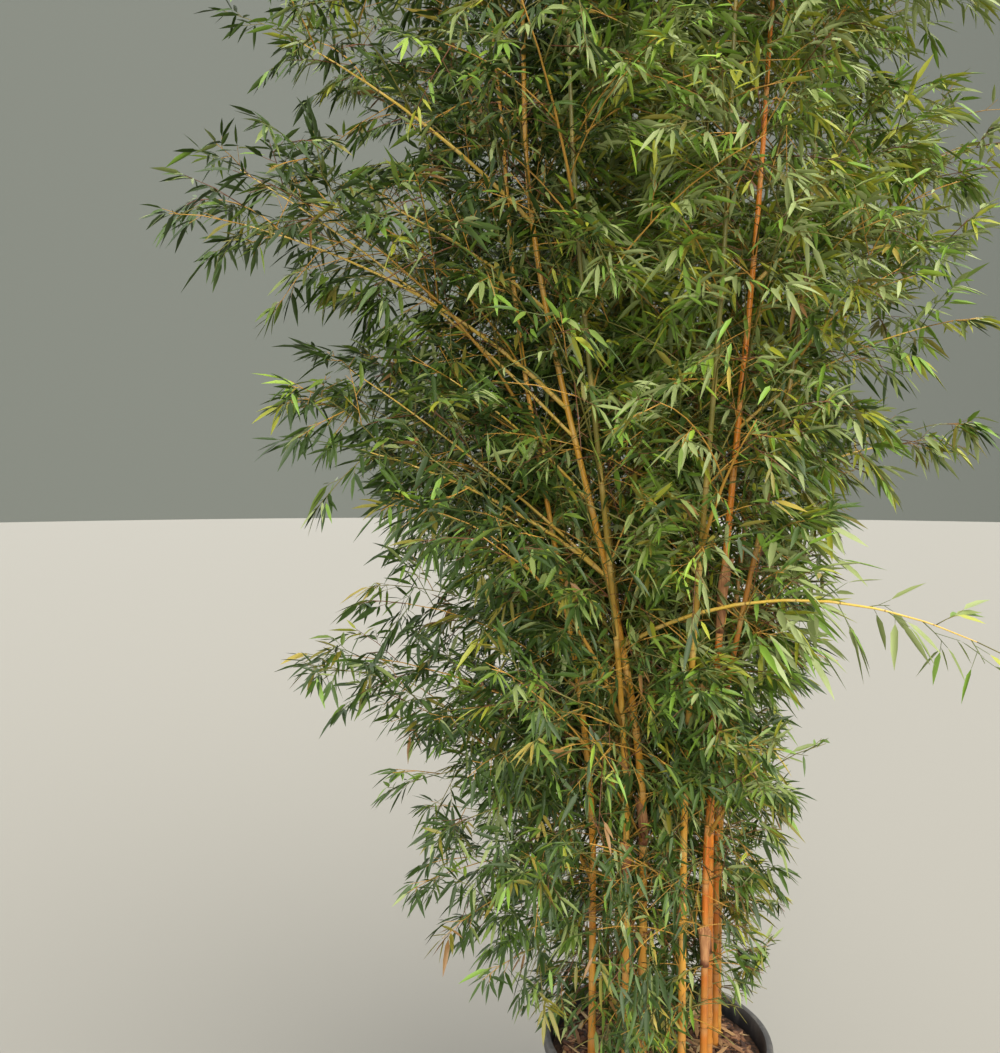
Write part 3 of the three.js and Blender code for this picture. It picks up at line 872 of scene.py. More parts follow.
shown_stems = [cut_to_crown(line) for line, _ in side_stems]
branches = [(line, tapered(BRANCH_STEPS + 1, SLIM_RADIUS, BRANCH_TIP)) for line in slim_lines]
for i, cane in enumerate(canes):
    length = length_of(cane_lines[i])
    places, _ = along(cane_lines[i], cane_joints[i])
    for place, joint, turn in zip(places, cane_joints[i], cane_turns[i]):
        if place[2] < LEAFY_FROM:
            continue
        second = turn + PAIR_TURN * rng.choice([-1, 1]) * rng.uniform(*PAIR_VARIES)
        for way, size in ((turn, 1), (second, SECOND_BRANCH), (rng.uniform(0, 360), THIRD_BRANCH)):
            if rng.uniform() < eased(LOW_BRANCHES, 1, LOW_SKIRT, place[2]):
                branches.append(branch_at(place, way, joint / length, size))
for line in bough_lines[:FREE_BOUGH] + bough_lines[FREE_BOUGH + 1 :] + shown_stems:
    length = length_of(line)
    reached = np.arange(SHOOT_FIRST * length, length, SHOOT_GAP)
    places, ways = along(line, reached)
    for i, (place, way) in enumerate(zip(places, ways)):
        turn = math.degrees(math.atan2(way[1], way[0])) + SHOOT_TURN * (-1) ** i + swing(SHOOT_VARIES)
        branches.append(branch_at(place, turn, SHOOT_FIRST, SHOOT_SIZE))
print(len(branches), "branches,", round(sum(length_of(line) for line, _ in branches) / 1000), "m")


# %% Twigs on every branch, bough and stem
TWIG_GAP = 42
TWIG_FIRST = 0.16
TWIG_LAST = 0.97
TWIG_SHIFT = 0.02
TWIG_REACH = 205
TWIG_LEAST = 60
TWIG_PER_BRANCH = 0.42
TWIG_VARIES = (0.6, 1.15)
TIP_SHARE = 0.5
FREE_REACH = 92
TIP_TWIG = 165.0
TWIG_SHORTER = 0.4
TWIG_SPREAD = 50
TWIG_DROOP = 0.15
TWIG_STEPS = 2
TWIG_SAG = 0.16
TWIG_RADII = (1.25, 0.65)
SCATTER = 16


def stacked(parts):
    """Rows of arrays, joined to one long array for each column."""
    return [np.concatenate(column) for column in zip(*parts)]


def turned_about(vectors, axes, radians):
    """Each vector turned about its axis, by the rule of Rodrigues."""
    cosine = np.cos(radians)[:, None]
    sine = np.sin(radians)[:, None]
    level = (vectors * axes).sum(-1, keepdims=True)
    return vectors * cosine + np.cross(axes, vectors) * sine + axes * level * (1 - cosine)


def twigs_on(line, reach, first):
    """Roots, headings and lengths of the twigs that leave a line by the golden angle."""
    length = length_of(line)
    count = max(int(length * (1 - first) / TWIG_GAP), 2)
    shares = np.linspace(first, TWIG_LAST, count) + swing(TWIG_SHIFT, count)
    roots, ways = along(line, shares * length)
    sides = unit(np.cross(UP, ways))
    turns = GOLDEN_ANGLE * np.arange(count) + rng.uniform(0, 360) + swing(SCATTER, count)
    outs = turned_about(sides, ways, np.radians(turns))
    spread = np.radians(TWIG_SPREAD + swing(SCATTER, count))[:, None]
    headings = ways * np.cos(spread) + outs * np.sin(spread)
    headings = unit(headings - UP * TWIG_DROOP * rng.uniform(0, 1, (count, 1)))
    reaches = reach * (1 - TWIG_SHORTER * shares) * rng.uniform(*TWIG_VARIES, count)
    return roots, headings, reaches


def limb_twigs(line, reach, first, tip_reach):
    """The twigs along a line, and the one that runs on from its tip."""
    tip = (line[-1:], unit(line[-1:] - line[-2:-1]), np.array([tip_reach]))
    return [twigs_on(line, reach, first), tip]


twig_parts = []
for line, _ in branches:
    reach = min(TWIG_REACH, TWIG_LEAST + TWIG_PER_BRANCH * length_of(line))
    twig_parts += limb_twigs(line, reach, TWIG_FIRST, reach * TIP_SHARE)
for i, line in enumerate(bough_lines + shown_stems):
    twig_parts += limb_twigs(line, FREE_REACH if i == FREE_BOUGH else TWIG_REACH, TWIG_FIRST, TIP_TWIG)
for line, _ in plumes:
    twig_parts += limb_twigs(line, TWIG_REACH, 0.0, TIP_TWIG)
twig_roots, twig_headings, twig_reaches = stacked(twig_parts)
steps = np.linspace(0, 1, TWIG_STEPS + 1)[None, :, None]
sag = UP * TWIG_SAG * steps**2
twig_lines = twig_roots[:, None] + (twig_headings[:, None] * steps - sag) * twig_reaches[:, None, None]
print(len(twig_lines), "twigs")

# %% Sprays: where the fans of leaves stand
SPRAYS = rows(
    "share side stalk",
    (0.25, 1, (26, 56)),
    (0.5, -1, (22, 48)),
    (0.76, 1, (16, 36)),
    (1.0, 0, (0, 0)),
)
STALK_SPREAD = 40
STALK_VARIES = 12
FLAT_ROLL = 50
TINY = 1e-6


def level_side(ways):
    """A level direction square to each way. The tiny part keeps one for a way that runs straight up."""
    return unit(np.cross(ways, UP) + TINY)


tip_ways = unit(twig_lines[:, -1] - twig_lines[:, -2])
flat_sides = turned_about(level_side(tip_ways), tip_ways, np.radians(swing(FLAT_ROLL, len(tip_ways))))
overs = np.cross(flat_sides, tip_ways)
spray_parts = []
for spray in SPRAYS:
    at = spray["share"] * TWIG_STEPS
    low = min(int(at), TWIG_STEPS - 1)
    root = lerp(twig_lines[:, low], twig_lines[:, low + 1], at - low)
    off = np.radians(spray["side"] * STALK_SPREAD + swing(STALK_VARIES, len(root)))
    way = turned_about(tip_ways, overs, off)
    stalk = rng.uniform(*spray["stalk"], len(root))[:, None]
    spray_parts.append((root, root + way * stalk, way, overs))
spray_roots, spray_tips, spray_ways, spray_over = stacked(spray_parts)
print(len(spray_tips), "sprays")

# %% [markdown]
# ## Leaves
# A bamboo leaf is a narrow lance, widest a third of the way along, folded a little at its rib and bent down
# by its own weight. One such blade is shaped with operators. Its few corners are then placed again for every
# leaf of every fan, with arrays, because an array of a hundred thousand leaves takes seconds and as many
# operator calls take hours. Leaves have no thickness to speak of, so each is one sheet.

# %% Shape one blade
BLADE_ROWS = 3
BLADE_OUTLINE = [(0.0, 0.0), (0.23, 0.46), (0.61, 0.42), (1.0, 0.0)]
BLADE_FOLD = 0.32

bm = bmesh.new()
bmesh.ops.create_grid(bm, x_segments=2, y_segments=BLADE_ROWS, size=1)
for vert in bm.verts:
    row = round((vert.co.y + 1) / 2 * BLADE_ROWS)
    share, half = BLADE_OUTLINE[row]
    vert.co = Vector((share, vert.co.x * half, abs(vert.co.x) * half * BLADE_FOLD))
bmesh.ops.remove_doubles(bm, verts=bm.verts, dist=MERGED)
flat_row = BLADE_OUTLINE[2][0]
flat_end = [v for v in bm.verts if abs(v.co.y) < MERGED and abs(v.co.x - flat_row) < MERGED]
bmesh.ops.dissolve_verts(bm, verts=flat_end)
bmesh.ops.triangulate(bm, faces=bm.faces)
bm.verts.index_update()
BLADE = np.array([vert.co for vert in bm.verts])
BLADE_FACES = np.array([[vert.index for vert in face.verts] for face in bm.faces])
bm.free()
print("one blade has", len(BLADE), "corners and", len(BLADE_FACES), "faces")

# %% Set out every leaf
FAN = np.array([0, 38, -38, 64, -64, 20, -20])
FAN_STEP = 7
FAN_SHORTER = 0.05
LEAVES_IN_SPRAY = [4, 4, 5, 5, 6]
LEAF_LENGTH = (44, 84)
LEAF_WIDTH = (0.14, 0.185)
LEAF_SAG = (-0.1, 0.75)
LEAF_ROLL = 54
LEAF_CURL = (0.02, 0.22)
LOW_LEAVES = 0.82
LOW_LEAF_PART = (900, 1700)
HIGH_LEAVES = 0.88
HIGH_PART = (1900, 2500)
EXTRA_LEAF = 0.35
LOW_TWIGS = 0.75
FREE_FROM = 3
FREE_LEAVES = [0, 1, 1, 2, 2, 3]
FREE_LONGER = 1.3
FREE_ROOM = FREE_REACH + 60
FRONT_LEAVES = 0.8
FRONT_PART = (-800, 100)

counts = rng.choice(LEAVES_IN_SPRAY, len(spray_tips))
drawn = np.tile(rng.uniform(size=len(twig_lines)), len(SPRAYS))
bare = drawn > eased(LOW_TWIGS, 1, LOW_SKIRT, np.tile(twig_roots[:, 2], len(SPRAYS)))
free_line = bough_lines[FREE_BOUGH][FREE_FROM:]
on_free = distance_to(free_line, np.full(len(free_line), BOUGH_TIP), spray_tips) < FREE_ROOM
counts += rng.uniform(size=len(counts)) < EXTRA_LEAF * smooth_step(*HIGH_PART, spray_tips[:, 2])
counts[bare] = 0
counts[on_free] = rng.choice(FREE_LEAVES, on_free.sum())
owner = np.repeat(np.arange(len(spray_tips)), counts)
order = np.concatenate([np.arange(count) for count in counts])
leaves = len(owner)
way = spray_ways[owner]
fan = FAN[order] + swing(SCATTER / 2, leaves)
leaf_ways = turned_about(way, spray_over[owner], np.radians(fan))
sagged = unit(leaf_ways - UP * rng.uniform(*LEAF_SAG, (leaves, 1)))
across = turned_about(level_side(sagged), sagged, np.radians(swing(LEAF_ROLL, leaves)))
over = np.cross(across, sagged)
roots = spray_tips[owner] - way * (FAN_STEP * order)[:, None]
lengths = rng.uniform(*LEAF_LENGTH, leaves) * (1 - FAN_SHORTER * order)
lengths *= eased(LOW_LEAVES, 1, LOW_LEAF_PART, roots[:, 2])
lengths *= eased(FRONT_LEAVES, 1, FRONT_PART, roots[:, 1])
lengths *= eased(1, HIGH_LEAVES, HIGH_PART, roots[:, 2])
lengths *= np.where(on_free[owner], FREE_LONGER, 1)
widths = lengths * rng.uniform(*LEAF_WIDTH, leaves)
curls = rng.uniform(*LEAF_CURL, leaves) * lengths
print(leaves, "leaves before any is skipped")

# %% Skip leaves that leave the crown or touch a cane
BOX_ROOM = 12
CANE_STRIDE = 10
CANE_THICK = 5.0
LEAF_CLEAR = 9
LOWEST_LEAF = 310
RIM_RING = (225, 275)
RIM_CLEAR = 392
CROWN_ROOM = 120
BOUGH_ROOM = 170
REACH_LOWER = 0.94


def along_leaves(share):
    """The place at a share of every leaf's length."""
    return roots + sagged * (lengths * share)[:, None] - UP * (curls * share**2)[:, None]


middles = along_leaves(0.5)
tips = along_leaves(1)
low, high = (np.array(corner) / MM for corner in cad_box)
inside = ((tips > low - BOX_ROOM) & (tips < high + BOX_ROOM)).all(-1)
inside &= (tips[:, 2] > LOWEST_LEAF) & (middles[:, 2] > LOWEST_LEAF)
on_bough = on_free[owner]
for line, radii in long_boughs + plumes + branches[: len(slim_lines)]:
    on_bough = on_bough | (distance_to(line, radii, roots) < BOUGH_ROOM)
out, azimuths = out_and_turn(tips)
inside &= on_bough | (out < shown_reach(tips[:, 2] * REACH_LOWER, azimuths) + CROWN_ROOM)
over_rim = (out > RIM_RING[0]) & (out < RIM_RING[1])
clear = ~(over_rim & (np.minimum(tips[:, 2], middles[:, 2]) < RIM_CLEAR))
for line in cane_lines:
    coarse = line[::CANE_STRIDE]
    clear &= distance_to(coarse, np.full(len(coarse), CANE_THICK), middles) > LEAF_CLEAR
print((~inside).sum(), "leaves are outside and", (~clear).sum(), "touch a cane")

# %% [markdown]
# ## Canes and boughs in the open
# In the picture some stretches of the golden canes and of the long boughs stand free of leaves. The rule
# can't know that, so the leaves that would cover such a stretch are thinned out, and those close beside it a
# little, which lets light in. Each leaf is looked at from the camera, at a few points along it.

# %% Thin out the leaves before the open stretches
ACROSS = 0
DOWN = 1
OPEN_STRETCHES = rows(
    "line axis start end pixels share",
    (cane_lines[0], DOWN, 90, 965, 8, 0.9),
    (cane_lines[1], DOWN, 470, 770, 7, 0.8),
    (cane_lines[2], DOWN, 80, 640, 9, 0.93),
    (cane_lines[2], DOWN, 800, 1060, 7, 0.8),
    (cane_lines[3], DOWN, 690, 1060, 8, 0.9),
    (cane_lines[4], DOWN, 880, 1060, 6, 0.8),
    (cane_lines[5], DOWN, 820, 1060, 9, 0.9),
    (bough_lines[0], ACROSS, 345, 610, 7, 0.7),
    (bough_lines[1], ACROSS, 200, 580, 7, 0.7),
    (bough_lines[2], ACROSS, 320, 550, 9, 0.86),
    (bough_lines[3], ACROSS, 640, 975, 7, 0.8),
    (slim_lines[0], ACROSS, 345, 610, 8, 0.9),
    (slim_lines[1], ACROSS, 250, 580, 8, 0.88),
    (slim_lines[2], ACROSS, 380, 540, 7, 0.8),
    (slim_lines[4], ACROSS, 600, 720, 6, 0.7),
    (slim_lines[5], ACROSS, 740, 900, 6, 0.7),
)
MARGIN_WIDER = 3.2
MARGIN_SHARE = 0.42
LEAF_SAMPLES = (0.0, 0.25, 0.5, 0.75, 1.0)


def seen_at(places):
    """Where the camera sees places given in millimetres: across, down, and how far away."""
    off = places * MM - np.array(EYE)
    depth = off[..., 1] * math.cos(LOOKS_DOWN) - off[..., 2] * math.sin(LOOKS_DOWN)
    up = off[..., 1] * math.sin(LOOKS_DOWN) + off[..., 2] * math.cos(LOOKS_DOWN)
    u = PICTURE_WIDE / 2 + FOCAL_PIXELS * off[..., 0] / depth
    v = PICTURE_HIGH / 2 - FOCAL_PIXELS * up / depth
    return np.stack([u, v, depth])


seen_samples = [seen_at(along_leaves(share)) for share in LEAF_SAMPLES]
hiding = np.zeros(leaves, bool)
for stretch in OPEN_STRETCHES:
    run = seen_at(stretch["line"])
    axis = stretch["axis"]
    run = run[:, np.argsort(run[axis])]
    covers = np.zeros(leaves, bool)
    beside = np.zeros(leaves, bool)
    for seen in seen_samples:
        gap = np.abs(seen[1 - axis] - np.interp(seen[axis], run[axis], run[1 - axis]))
        before = seen[2] < np.interp(seen[axis], run[axis], run[2])
        within = before & (seen[axis] > stretch["start"]) & (seen[axis] < stretch["end"])
        covers |= within & (gap < stretch["pixels"])
        beside |= within & (gap < stretch["pixels"] * MARGIN_WIDER)
    drawn = rng.uniform(size=leaves)
    hiding |= (covers & (drawn < stretch["share"])) | (beside & (drawn < MARGIN_SHARE))
kept = inside & clear & ~hiding
print(kept.sum(), "of", leaves, "leaves are kept,", hiding.sum(), "would hide an open stretch")

# %% [markdown]
# ## Leaf colours
# No two fans of the real plant have quite one green. Old leaves are deep and cool, leaves seen from below
# are grey, and a few new shoots are bright lime. Each fan gets one plain colour from a short list, which
# reads the same in any program, and the chances of the colours change over the crown. That change paints
# light and
# shade into the leaves: the sunny right side and the lit top get yellower and lighter greens, and low down
# and inside the left of the crown, where little light comes, the greens are deeper, partly as older leaves
# and partly as painted shade. The palest grey-green is partly leaf undersides and partly a painted sheen of
# the sky.

# %% Deal out the colours by fan
# The name and the colour of a leaf, and its chances in the shade, in the sun, high up and in the deep shade.
# The choice by place is painted light and shade: darker tints in the shade and the deep shade, and yellower
# and lighter ones in the sun and high up.
LEAF_TINTS = [
    ("deep", (47, 68, 18), (0.3, 0.12, 0.0, 0.48)),
    ("shade", (66, 90, 28), (0.27, 0.16, 0.01, 0.3)),
    ("mid", (99, 121, 41), (0.2, 0.18, 0.04, 0.1)),
    ("fresh", (114, 147, 50), (0.06, 0.1, 0.24, 0.03)),
    ("grey", (124, 138, 76), (0.15, 0.11, 0.2, 0.03)),
    # The next tint is partly the grey of leaf undersides and partly a painted sheen, the sky's reflection on
    # glossy leaves.
    ("silver_sheen", (146, 158, 100), (0.07, 0.04, 0.29, 0.01)),
    ("olive", (118, 112, 34), (0.06, 0.2, 0.02, 0.06)),
    ("sunny", (152, 156, 46), (0.01, 0.09, 0.18, 0.01)),
    ("lime", (142, 170, 56), (0.01, 0.02, 0.03, 0.01)),
    ("straw", (172, 154, 68), (0.01, 0.015, 0.005, 0.01)),
    ("dry", (132, 98, 54), (0.01, 0.015, 0.003, 0.01)),
]
PALE_TINTS = [3, 4, 5, 5, 7]
STRAY_SHARE = 0.12
STRAY_TINTS = 6
# Where the leaves' painted light and shade fall: the sunny side gets yellower tints, the lit top lighter
# ones, and the low, left and inner parts of the crown darker ones.
SUNNY_TURN = np.array([0.62, -0.2, -0.3])
SUNNY_MIDDLE = [0, 0, 1400]
SUNNY_SHARE = 0.34
SUNNY_OVER = 800
LIGHT_PART = (1200, 2200)
LIGHT_SIDE = (-450, -80)
DARK_SIDE_LIGHT = 0.15
SHADY_TURN = np.array([1.6, 0.0, 1.0])
SHADY_PART = (1450, 850)
OPEN_SIDE = (20, 220)
OPEN_SIDE_SHADE = 0.3
INNER_DEPTH = (0.85, 0.45)
INNER_SIDE = (-80, -330)

leaf_finishes = plain_finishes("leaf", [(name, tint) for name, tint, _ in LEAF_TINTS], 0.46)
cool, warm, light, shaded = unit(np.sqrt([chances for *_, chances in LEAF_TINTS]).T) ** 2
spray_x = spray_tips[:, 0]
# Painted sunlight: the share of the warm, yellower tints grows towards the sunny right.
spray_sun = np.clip(SUNNY_SHARE + (spray_tips - SUNNY_MIDDLE) @ SUNNY_TURN / SUNNY_OVER, 0, 1)[:, None]
# Painted light: lighter tints high up, strongest on the lit side.
lit_side = eased(DARK_SIDE_LIGHT, 1, LIGHT_SIDE, spray_x)
painted_light_high = (lit_side * smooth_step(*LIGHT_PART, spray_tips[:, 2]))[:, None]
# Painted shade: darker tints low down and to the left, weaker on the open right side.
lit_low = eased(1, OPEN_SIDE_SHADE, OPEN_SIDE, spray_x)
painted_shade = smooth_step(*SHADY_PART, spray_tips @ SHADY_TURN) * lit_low
# More painted shade inside the left of the crown, where it is partly also the deeper green of older leaves.
spray_out, spray_turns = out_and_turn(spray_tips)
depth = spray_out / shown_reach(spray_tips[:, 2] * REACH_LOWER, spray_turns)
inner_painted_shade = smooth_step(*INNER_DEPTH, depth) * smooth_step(*INNER_SIDE, spray_x)
painted_shade = np.maximum(painted_shade, inner_painted_shade)[:, None]
mixed = lerp(lerp(lerp(cool, warm, spray_sun), light, painted_light_high), shaded, painted_shade)
spray_tint = (rng.uniform(size=(len(spray_tips), 1)) > np.cumsum(mixed, axis=1)).sum(1)
spray_tint = spray_tint.clip(0, len(LEAF_TINTS) - 1)
strays = rng.uniform(size=leaves) < STRAY_SHARE
leaf_tint = np.where(strays, rng.integers(0, STRAY_TINTS, leaves), spray_tint[owner])
pale = np.flatnonzero(on_free[owner])
leaf_tint[pale] = rng.choice(PALE_TINTS, len(pale))
print("fans of each colour:", np.bincount(spray_tint).tolist())


# %% Build a mesh from arrays
def mesh_of_arrays(name, corners, faces, kinds):
    """A mesh of triangles from arrays. kinds says which finish each face has."""
    mesh = bpy.data.meshes.new(name)
    mesh.vertices.add(len(corners))
    mesh.vertices.foreach_set("co", (corners * MM).astype(np.float32).ravel())
    mesh.loops.add(faces.size)
    mesh.loops.foreach_set("vertex_index", faces.astype(np.int32).ravel())
    mesh.polygons.add(len(faces))
    mesh.polygons.foreach_set("loop_start", np.arange(0, faces.size, 3, dtype=np.int32))
    mesh.polygons.foreach_set("material_index", kinds.astype(np.int32))
    mesh.update(calc_edges=True)
    return mesh


def repeated(count, faces, corners):
    """The faces of one small shape for each of count copies, whose corners follow each other."""
    return (np.arange(count)[:, None, None] * corners + faces).reshape(-1, 3)


BANDS = ["foot", "low", "waist", "middle", "high", "crown", "top"]
masses = {f"foliage_top_{i + 1:02d}": line for i, (line, _) in enumerate(plumes)}
masses.update({f"foliage_side_{i + 1:02d}": line for i, (line, _) in enumerate(side_stems)})
masses.update({f"foliage_{bough['name']}": line for bough, line in zip(BOUGHS, bough_lines)})
cuts = np.quantile(middles[kept, 2], np.arange(1, len(BANDS)) / len(BANDS))
band_of_mass = {name: int(np.searchsorted(cuts, line[-1, 2])) for name, line in masses.items()}
print("bands start at", (cuts * MM).round(2).tolist(), "m")

# %% Make the leaf pieces
for band, name in enumerate(BANDS):
    mine = np.flatnonzero(kept & (np.searchsorted(cuts, middles[:, 2]) == band))
    far, side, rise = (BLADE[None, :, i : i + 1] for i in range(3))
    long, wide, curl = (sizes[mine, None, None] for sizes in (lengths, widths, curls))
    corners = roots[mine, None] + sagged[mine, None] * (far * long) + across[mine, None] * (side * wide)
    corners = corners + over[mine, None] * (rise * wide) - UP * far**2 * curl
    faces = repeated(len(mine), BLADE_FACES, len(BLADE))
    kinds = np.repeat(leaf_tint[mine], len(BLADE_FACES))
    mesh = mesh_of_arrays(f"leaves_{name}", corners.reshape(-1, 3), faces, kinds)
    nodes = [mass for mass, at in band_of_mass.items() if at == band]
    hand_over(f"leaves_{name}", mesh, leaf_finishes, nodes)

# %% [markdown]
# ## Twigs
# A twig is a tube with three or five sides, closed at both ends. The fans' stalks, the twigs and the
# branches are all made by one function. A stalk is a millimetre thick and both its ends are hidden, so it
# stays open, and it is made only where at least one leaf of its fan stayed.


# %% Tubes from arrays
def tubes(lines, radii, sides):
    """Tubes along lines with the same number of points and a radius for each; closed unless a line has two
    points.
    """
    count, points = lines.shape[:2]
    ways = unit(np.gradient(lines, axis=1))
    first = level_side(ways)
    second = np.cross(ways, first)
    round_at = np.arange(sides) / sides * 2 * math.pi
    ring = first[:, :, None] * np.cos(round_at)[:, None] + second[:, :, None] * np.sin(round_at)[:, None]
    corners = lines[:, :, None] + ring * radii[:, :, None, None]
    faces = []
    for step in range(points - 1):
        for side in range(sides):
            here = step * sides + side
            beside = step * sides + (side + 1) % sides
            faces += [(here, beside, beside + sides), (here, beside + sides, here + sides)]
    last = (points - 1) * sides
    for side in range(1, sides - 1 if points > 2 else 1):
        faces += [(0, side + 1, side), (last, last + side, last + side + 1)]
    return corners.reshape(-1, 3), repeated(count, np.array(faces), points * sides)


WOOD_TINTS = [
    ("gold", (186, 140, 56)),
    ("olive", (118, 112, 50)),
    ("green", (92, 104, 48)),
    ("brown", (112, 70, 42)),
]
WOOD_CHANCES = [0.24, 0.28, 0.26, 0.22]
wood_finishes = plain_finishes("twig", WOOD_TINTS, 0.55)
leafy_sprays = np.zeros(len(spray_tips), bool)
leafy_sprays[owner[kept]] = True
twigs = len(twig_lines)
leafy_twigs = leafy_sprays.reshape(len(SPRAYS), twigs).any(0)
twig_kind = rng.choice(len(WOOD_TINTS), twigs, p=WOOD_CHANCES)
print(leafy_twigs.sum(), "twigs and", leafy_sprays.sum(), "stalks carry leaves")

# %% Make the twig pieces
TWIG_BANDS = ["lower", "middle", "upper"]
# The bands of leaves after which the bands of twigs part.
TWIG_CUTS = [1, 4]
STALK_RADII = (0.75, 0.5)
BRANCH_SIDES = 5
BRANCH_CHANCES = [0.4, 0.6]
TWIG_SIDES = 3

rule_branches = branches[len(slim_lines) :]
branch_lines, branch_radii = (np.array(part) for part in zip(*rule_branches))
stem_lines = np.array(shown_stems)
stem_radii = np.array([tapered(STEM_STEPS + 1, radii[0], BRANCH_TIP) for _, radii in side_stems])
stalked = leafy_sprays & (np.arange(len(spray_tips)) < twigs * (len(SPRAYS) - 1))
stalk_lines = np.stack([spray_roots, spray_tips], 1)[stalked]
stalk_kind = np.tile(twig_kind, len(SPRAYS))[stalked]
twig_radii = np.tile(tapered(TWIG_STEPS + 1, *TWIG_RADII), (twigs, 1))
branch_kind = rng.choice(len(BRANCH_CHANCES), len(branch_lines), p=BRANCH_CHANCES)
wood = [
    (branch_lines, branch_radii, BRANCH_SIDES, branch_kind),
    (stem_lines, stem_radii, BRANCH_SIDES, np.zeros(len(stem_lines), int)),
    (twig_lines[leafy_twigs], twig_radii[leafy_twigs], TWIG_SIDES, twig_kind[leafy_twigs]),
    (stalk_lines, np.tile(STALK_RADII, (len(stalk_lines), 1)), TWIG_SIDES, stalk_kind),
]
twig_cuts = cuts[TWIG_CUTS]
for band, name in enumerate(TWIG_BANDS):
    parts = []
    before = 0
    for lines, radii, sides, kind in wood:
        mine = np.searchsorted(twig_cuts, lines[:, 0, 2]) == band
        corners, faces = tubes(lines[mine], radii[mine], sides)
        parts.append((corners, faces + before, np.repeat(kind[mine], len(faces) // max(mine.sum(), 1))))
        before += len(corners)
    mesh = mesh_of_arrays(f"twigs_{name}", *stacked(parts))
    nodes = [mass for mass, line in masses.items() if np.searchsorted(twig_cuts, line[-1, 2]) == band]
    hand_over(f"twigs_{name}", mesh, wood_finishes, nodes)

# %% [markdown]
# ## Papery sheaths
# A young cane is wrapped in sheaths, one from each ring. They dry to a pinkish straw colour, loosen and fall,
# and a few hang on. A sheath is a flat sheet that is rolled round the cane: a grid, cut to a long triangle,
# wrapped by moving its corners, and given its thickness with solidify.

# %% Wrap the sheaths
SHEATHS = rows(
    "cane height long turn",
    (2, 1265, 165, -60),
    (2, 640, 90, 150),
    (0, 830, 110, 200),
    (1, 1020, 120, -80),
    (5, 560, 95, -110),
    (8, 1300, 130, 60),
    (12, 760, 105, 250),
    (10, 900, 120, 120),
)
SHEATH_GRID = {"x_segments": 14, "y_segments": 8, "size": 1}
SHEATH_WRAP = 300
SHEATH_NARROWS = 0.8
SHEATH_POINT = 2.2
SHEATH_OFF = 1.6
SHEATH_FLARE = 7
SHEATH_MIDDLE = 0.4
SHEATH_THICK = 0.5


def sheath_mesh(sheath):
    i = sheath["cane"]
    line = cane_lines[i]
    foot = cane_joints[i][np.abs(along(line, cane_joints[i])[0][:, 2] - sheath["height"]).argmin()]
    bm = bmesh.new()
    bmesh.ops.create_grid(bm, **SHEATH_GRID)
    cane_thick = whole_cane_radius(canes[i])(foot / length_of(line))
    for vert in bm.verts:
        up = (vert.co.y + 1) / 2
        narrow = 1 - SHEATH_NARROWS * up**SHEATH_POINT
        angle = math.radians(sheath["turn"] + vert.co.x * SHEATH_WRAP / 2 * narrow)
        place, way = along(line, foot + up * sheath["long"])
        radius = cane_thick + SHEATH_OFF + SHEATH_FLARE * up**2 * (SHEATH_MIDDLE + abs(vert.co.x))
        out = np.array([math.cos(angle), math.sin(angle), 0])
        vert.co = Vector((place + unit(out - way * (out @ way)) * radius) * MM)
    bmesh.ops.recalc_face_normals(bm, faces=bm.faces)
    bmesh.ops.solidify(bm, geom=bm.faces[:], thickness=SHEATH_THICK * MM)
    bmesh.ops.recalc_face_normals(bm, faces=bm.faces)
    return smoothed(mesh_from("sheath", bm))


paper, wire = new_finish("papery_sheath", Roughness=0.8)
place = object_place(wire)
ribs = place.noise(500, 3, 0.04)
tone = ribs.step(0.3, 0.7).blend(colour(150, 96, 60), colour(198, 146, 96))
tone = place.noise(24, 3).step(0.52, 0.7).blend(tone, colour(112, 66, 42))
wire_up(paper, Base_Color=tone, Normal=ribs.bump(0.5, 0.0008))
sheaths = joined("papery_sheaths", [sheath_mesh(sheath) for sheath in SHEATHS])
hand_over("papery_sheaths", sheaths, [paper])

# %% [markdown]
# ## The tub
# A nursery tub is pressed from thin black plastic. Its wall widens towards a rim that rolls over and turns
# down, two raised hoops stiffen it, and slots round the foot let water out. The whole profile, outside and
# inside, is spun at once. The slots are cut with a Boolean, because they go through a curved wall.

# %% Spin the tub
FOOT_RADIUS = 212
MOUTH_RADIUS = 248
LIP_RADIUS = 260
SKIRT_FOOT = 354
SKIRT_INSIDE = 371
LIP_FROM = 373
WALL = 5
TUB_FLOOR = 6
FOOT_RECESS = 4
RECESS_RADIUS = 150
TUB_STEPS = 96
HOOPS = [(62, 1.8), (300, 2.4)]
HOOP_HALF = 7
HOOP_FLAT = 4
HOOP_SUNK = 0.2


def wall_at(height):
    return lerp(FOOT_RADIUS, MOUTH_RADIUS, height / TUB_HEIGHT)


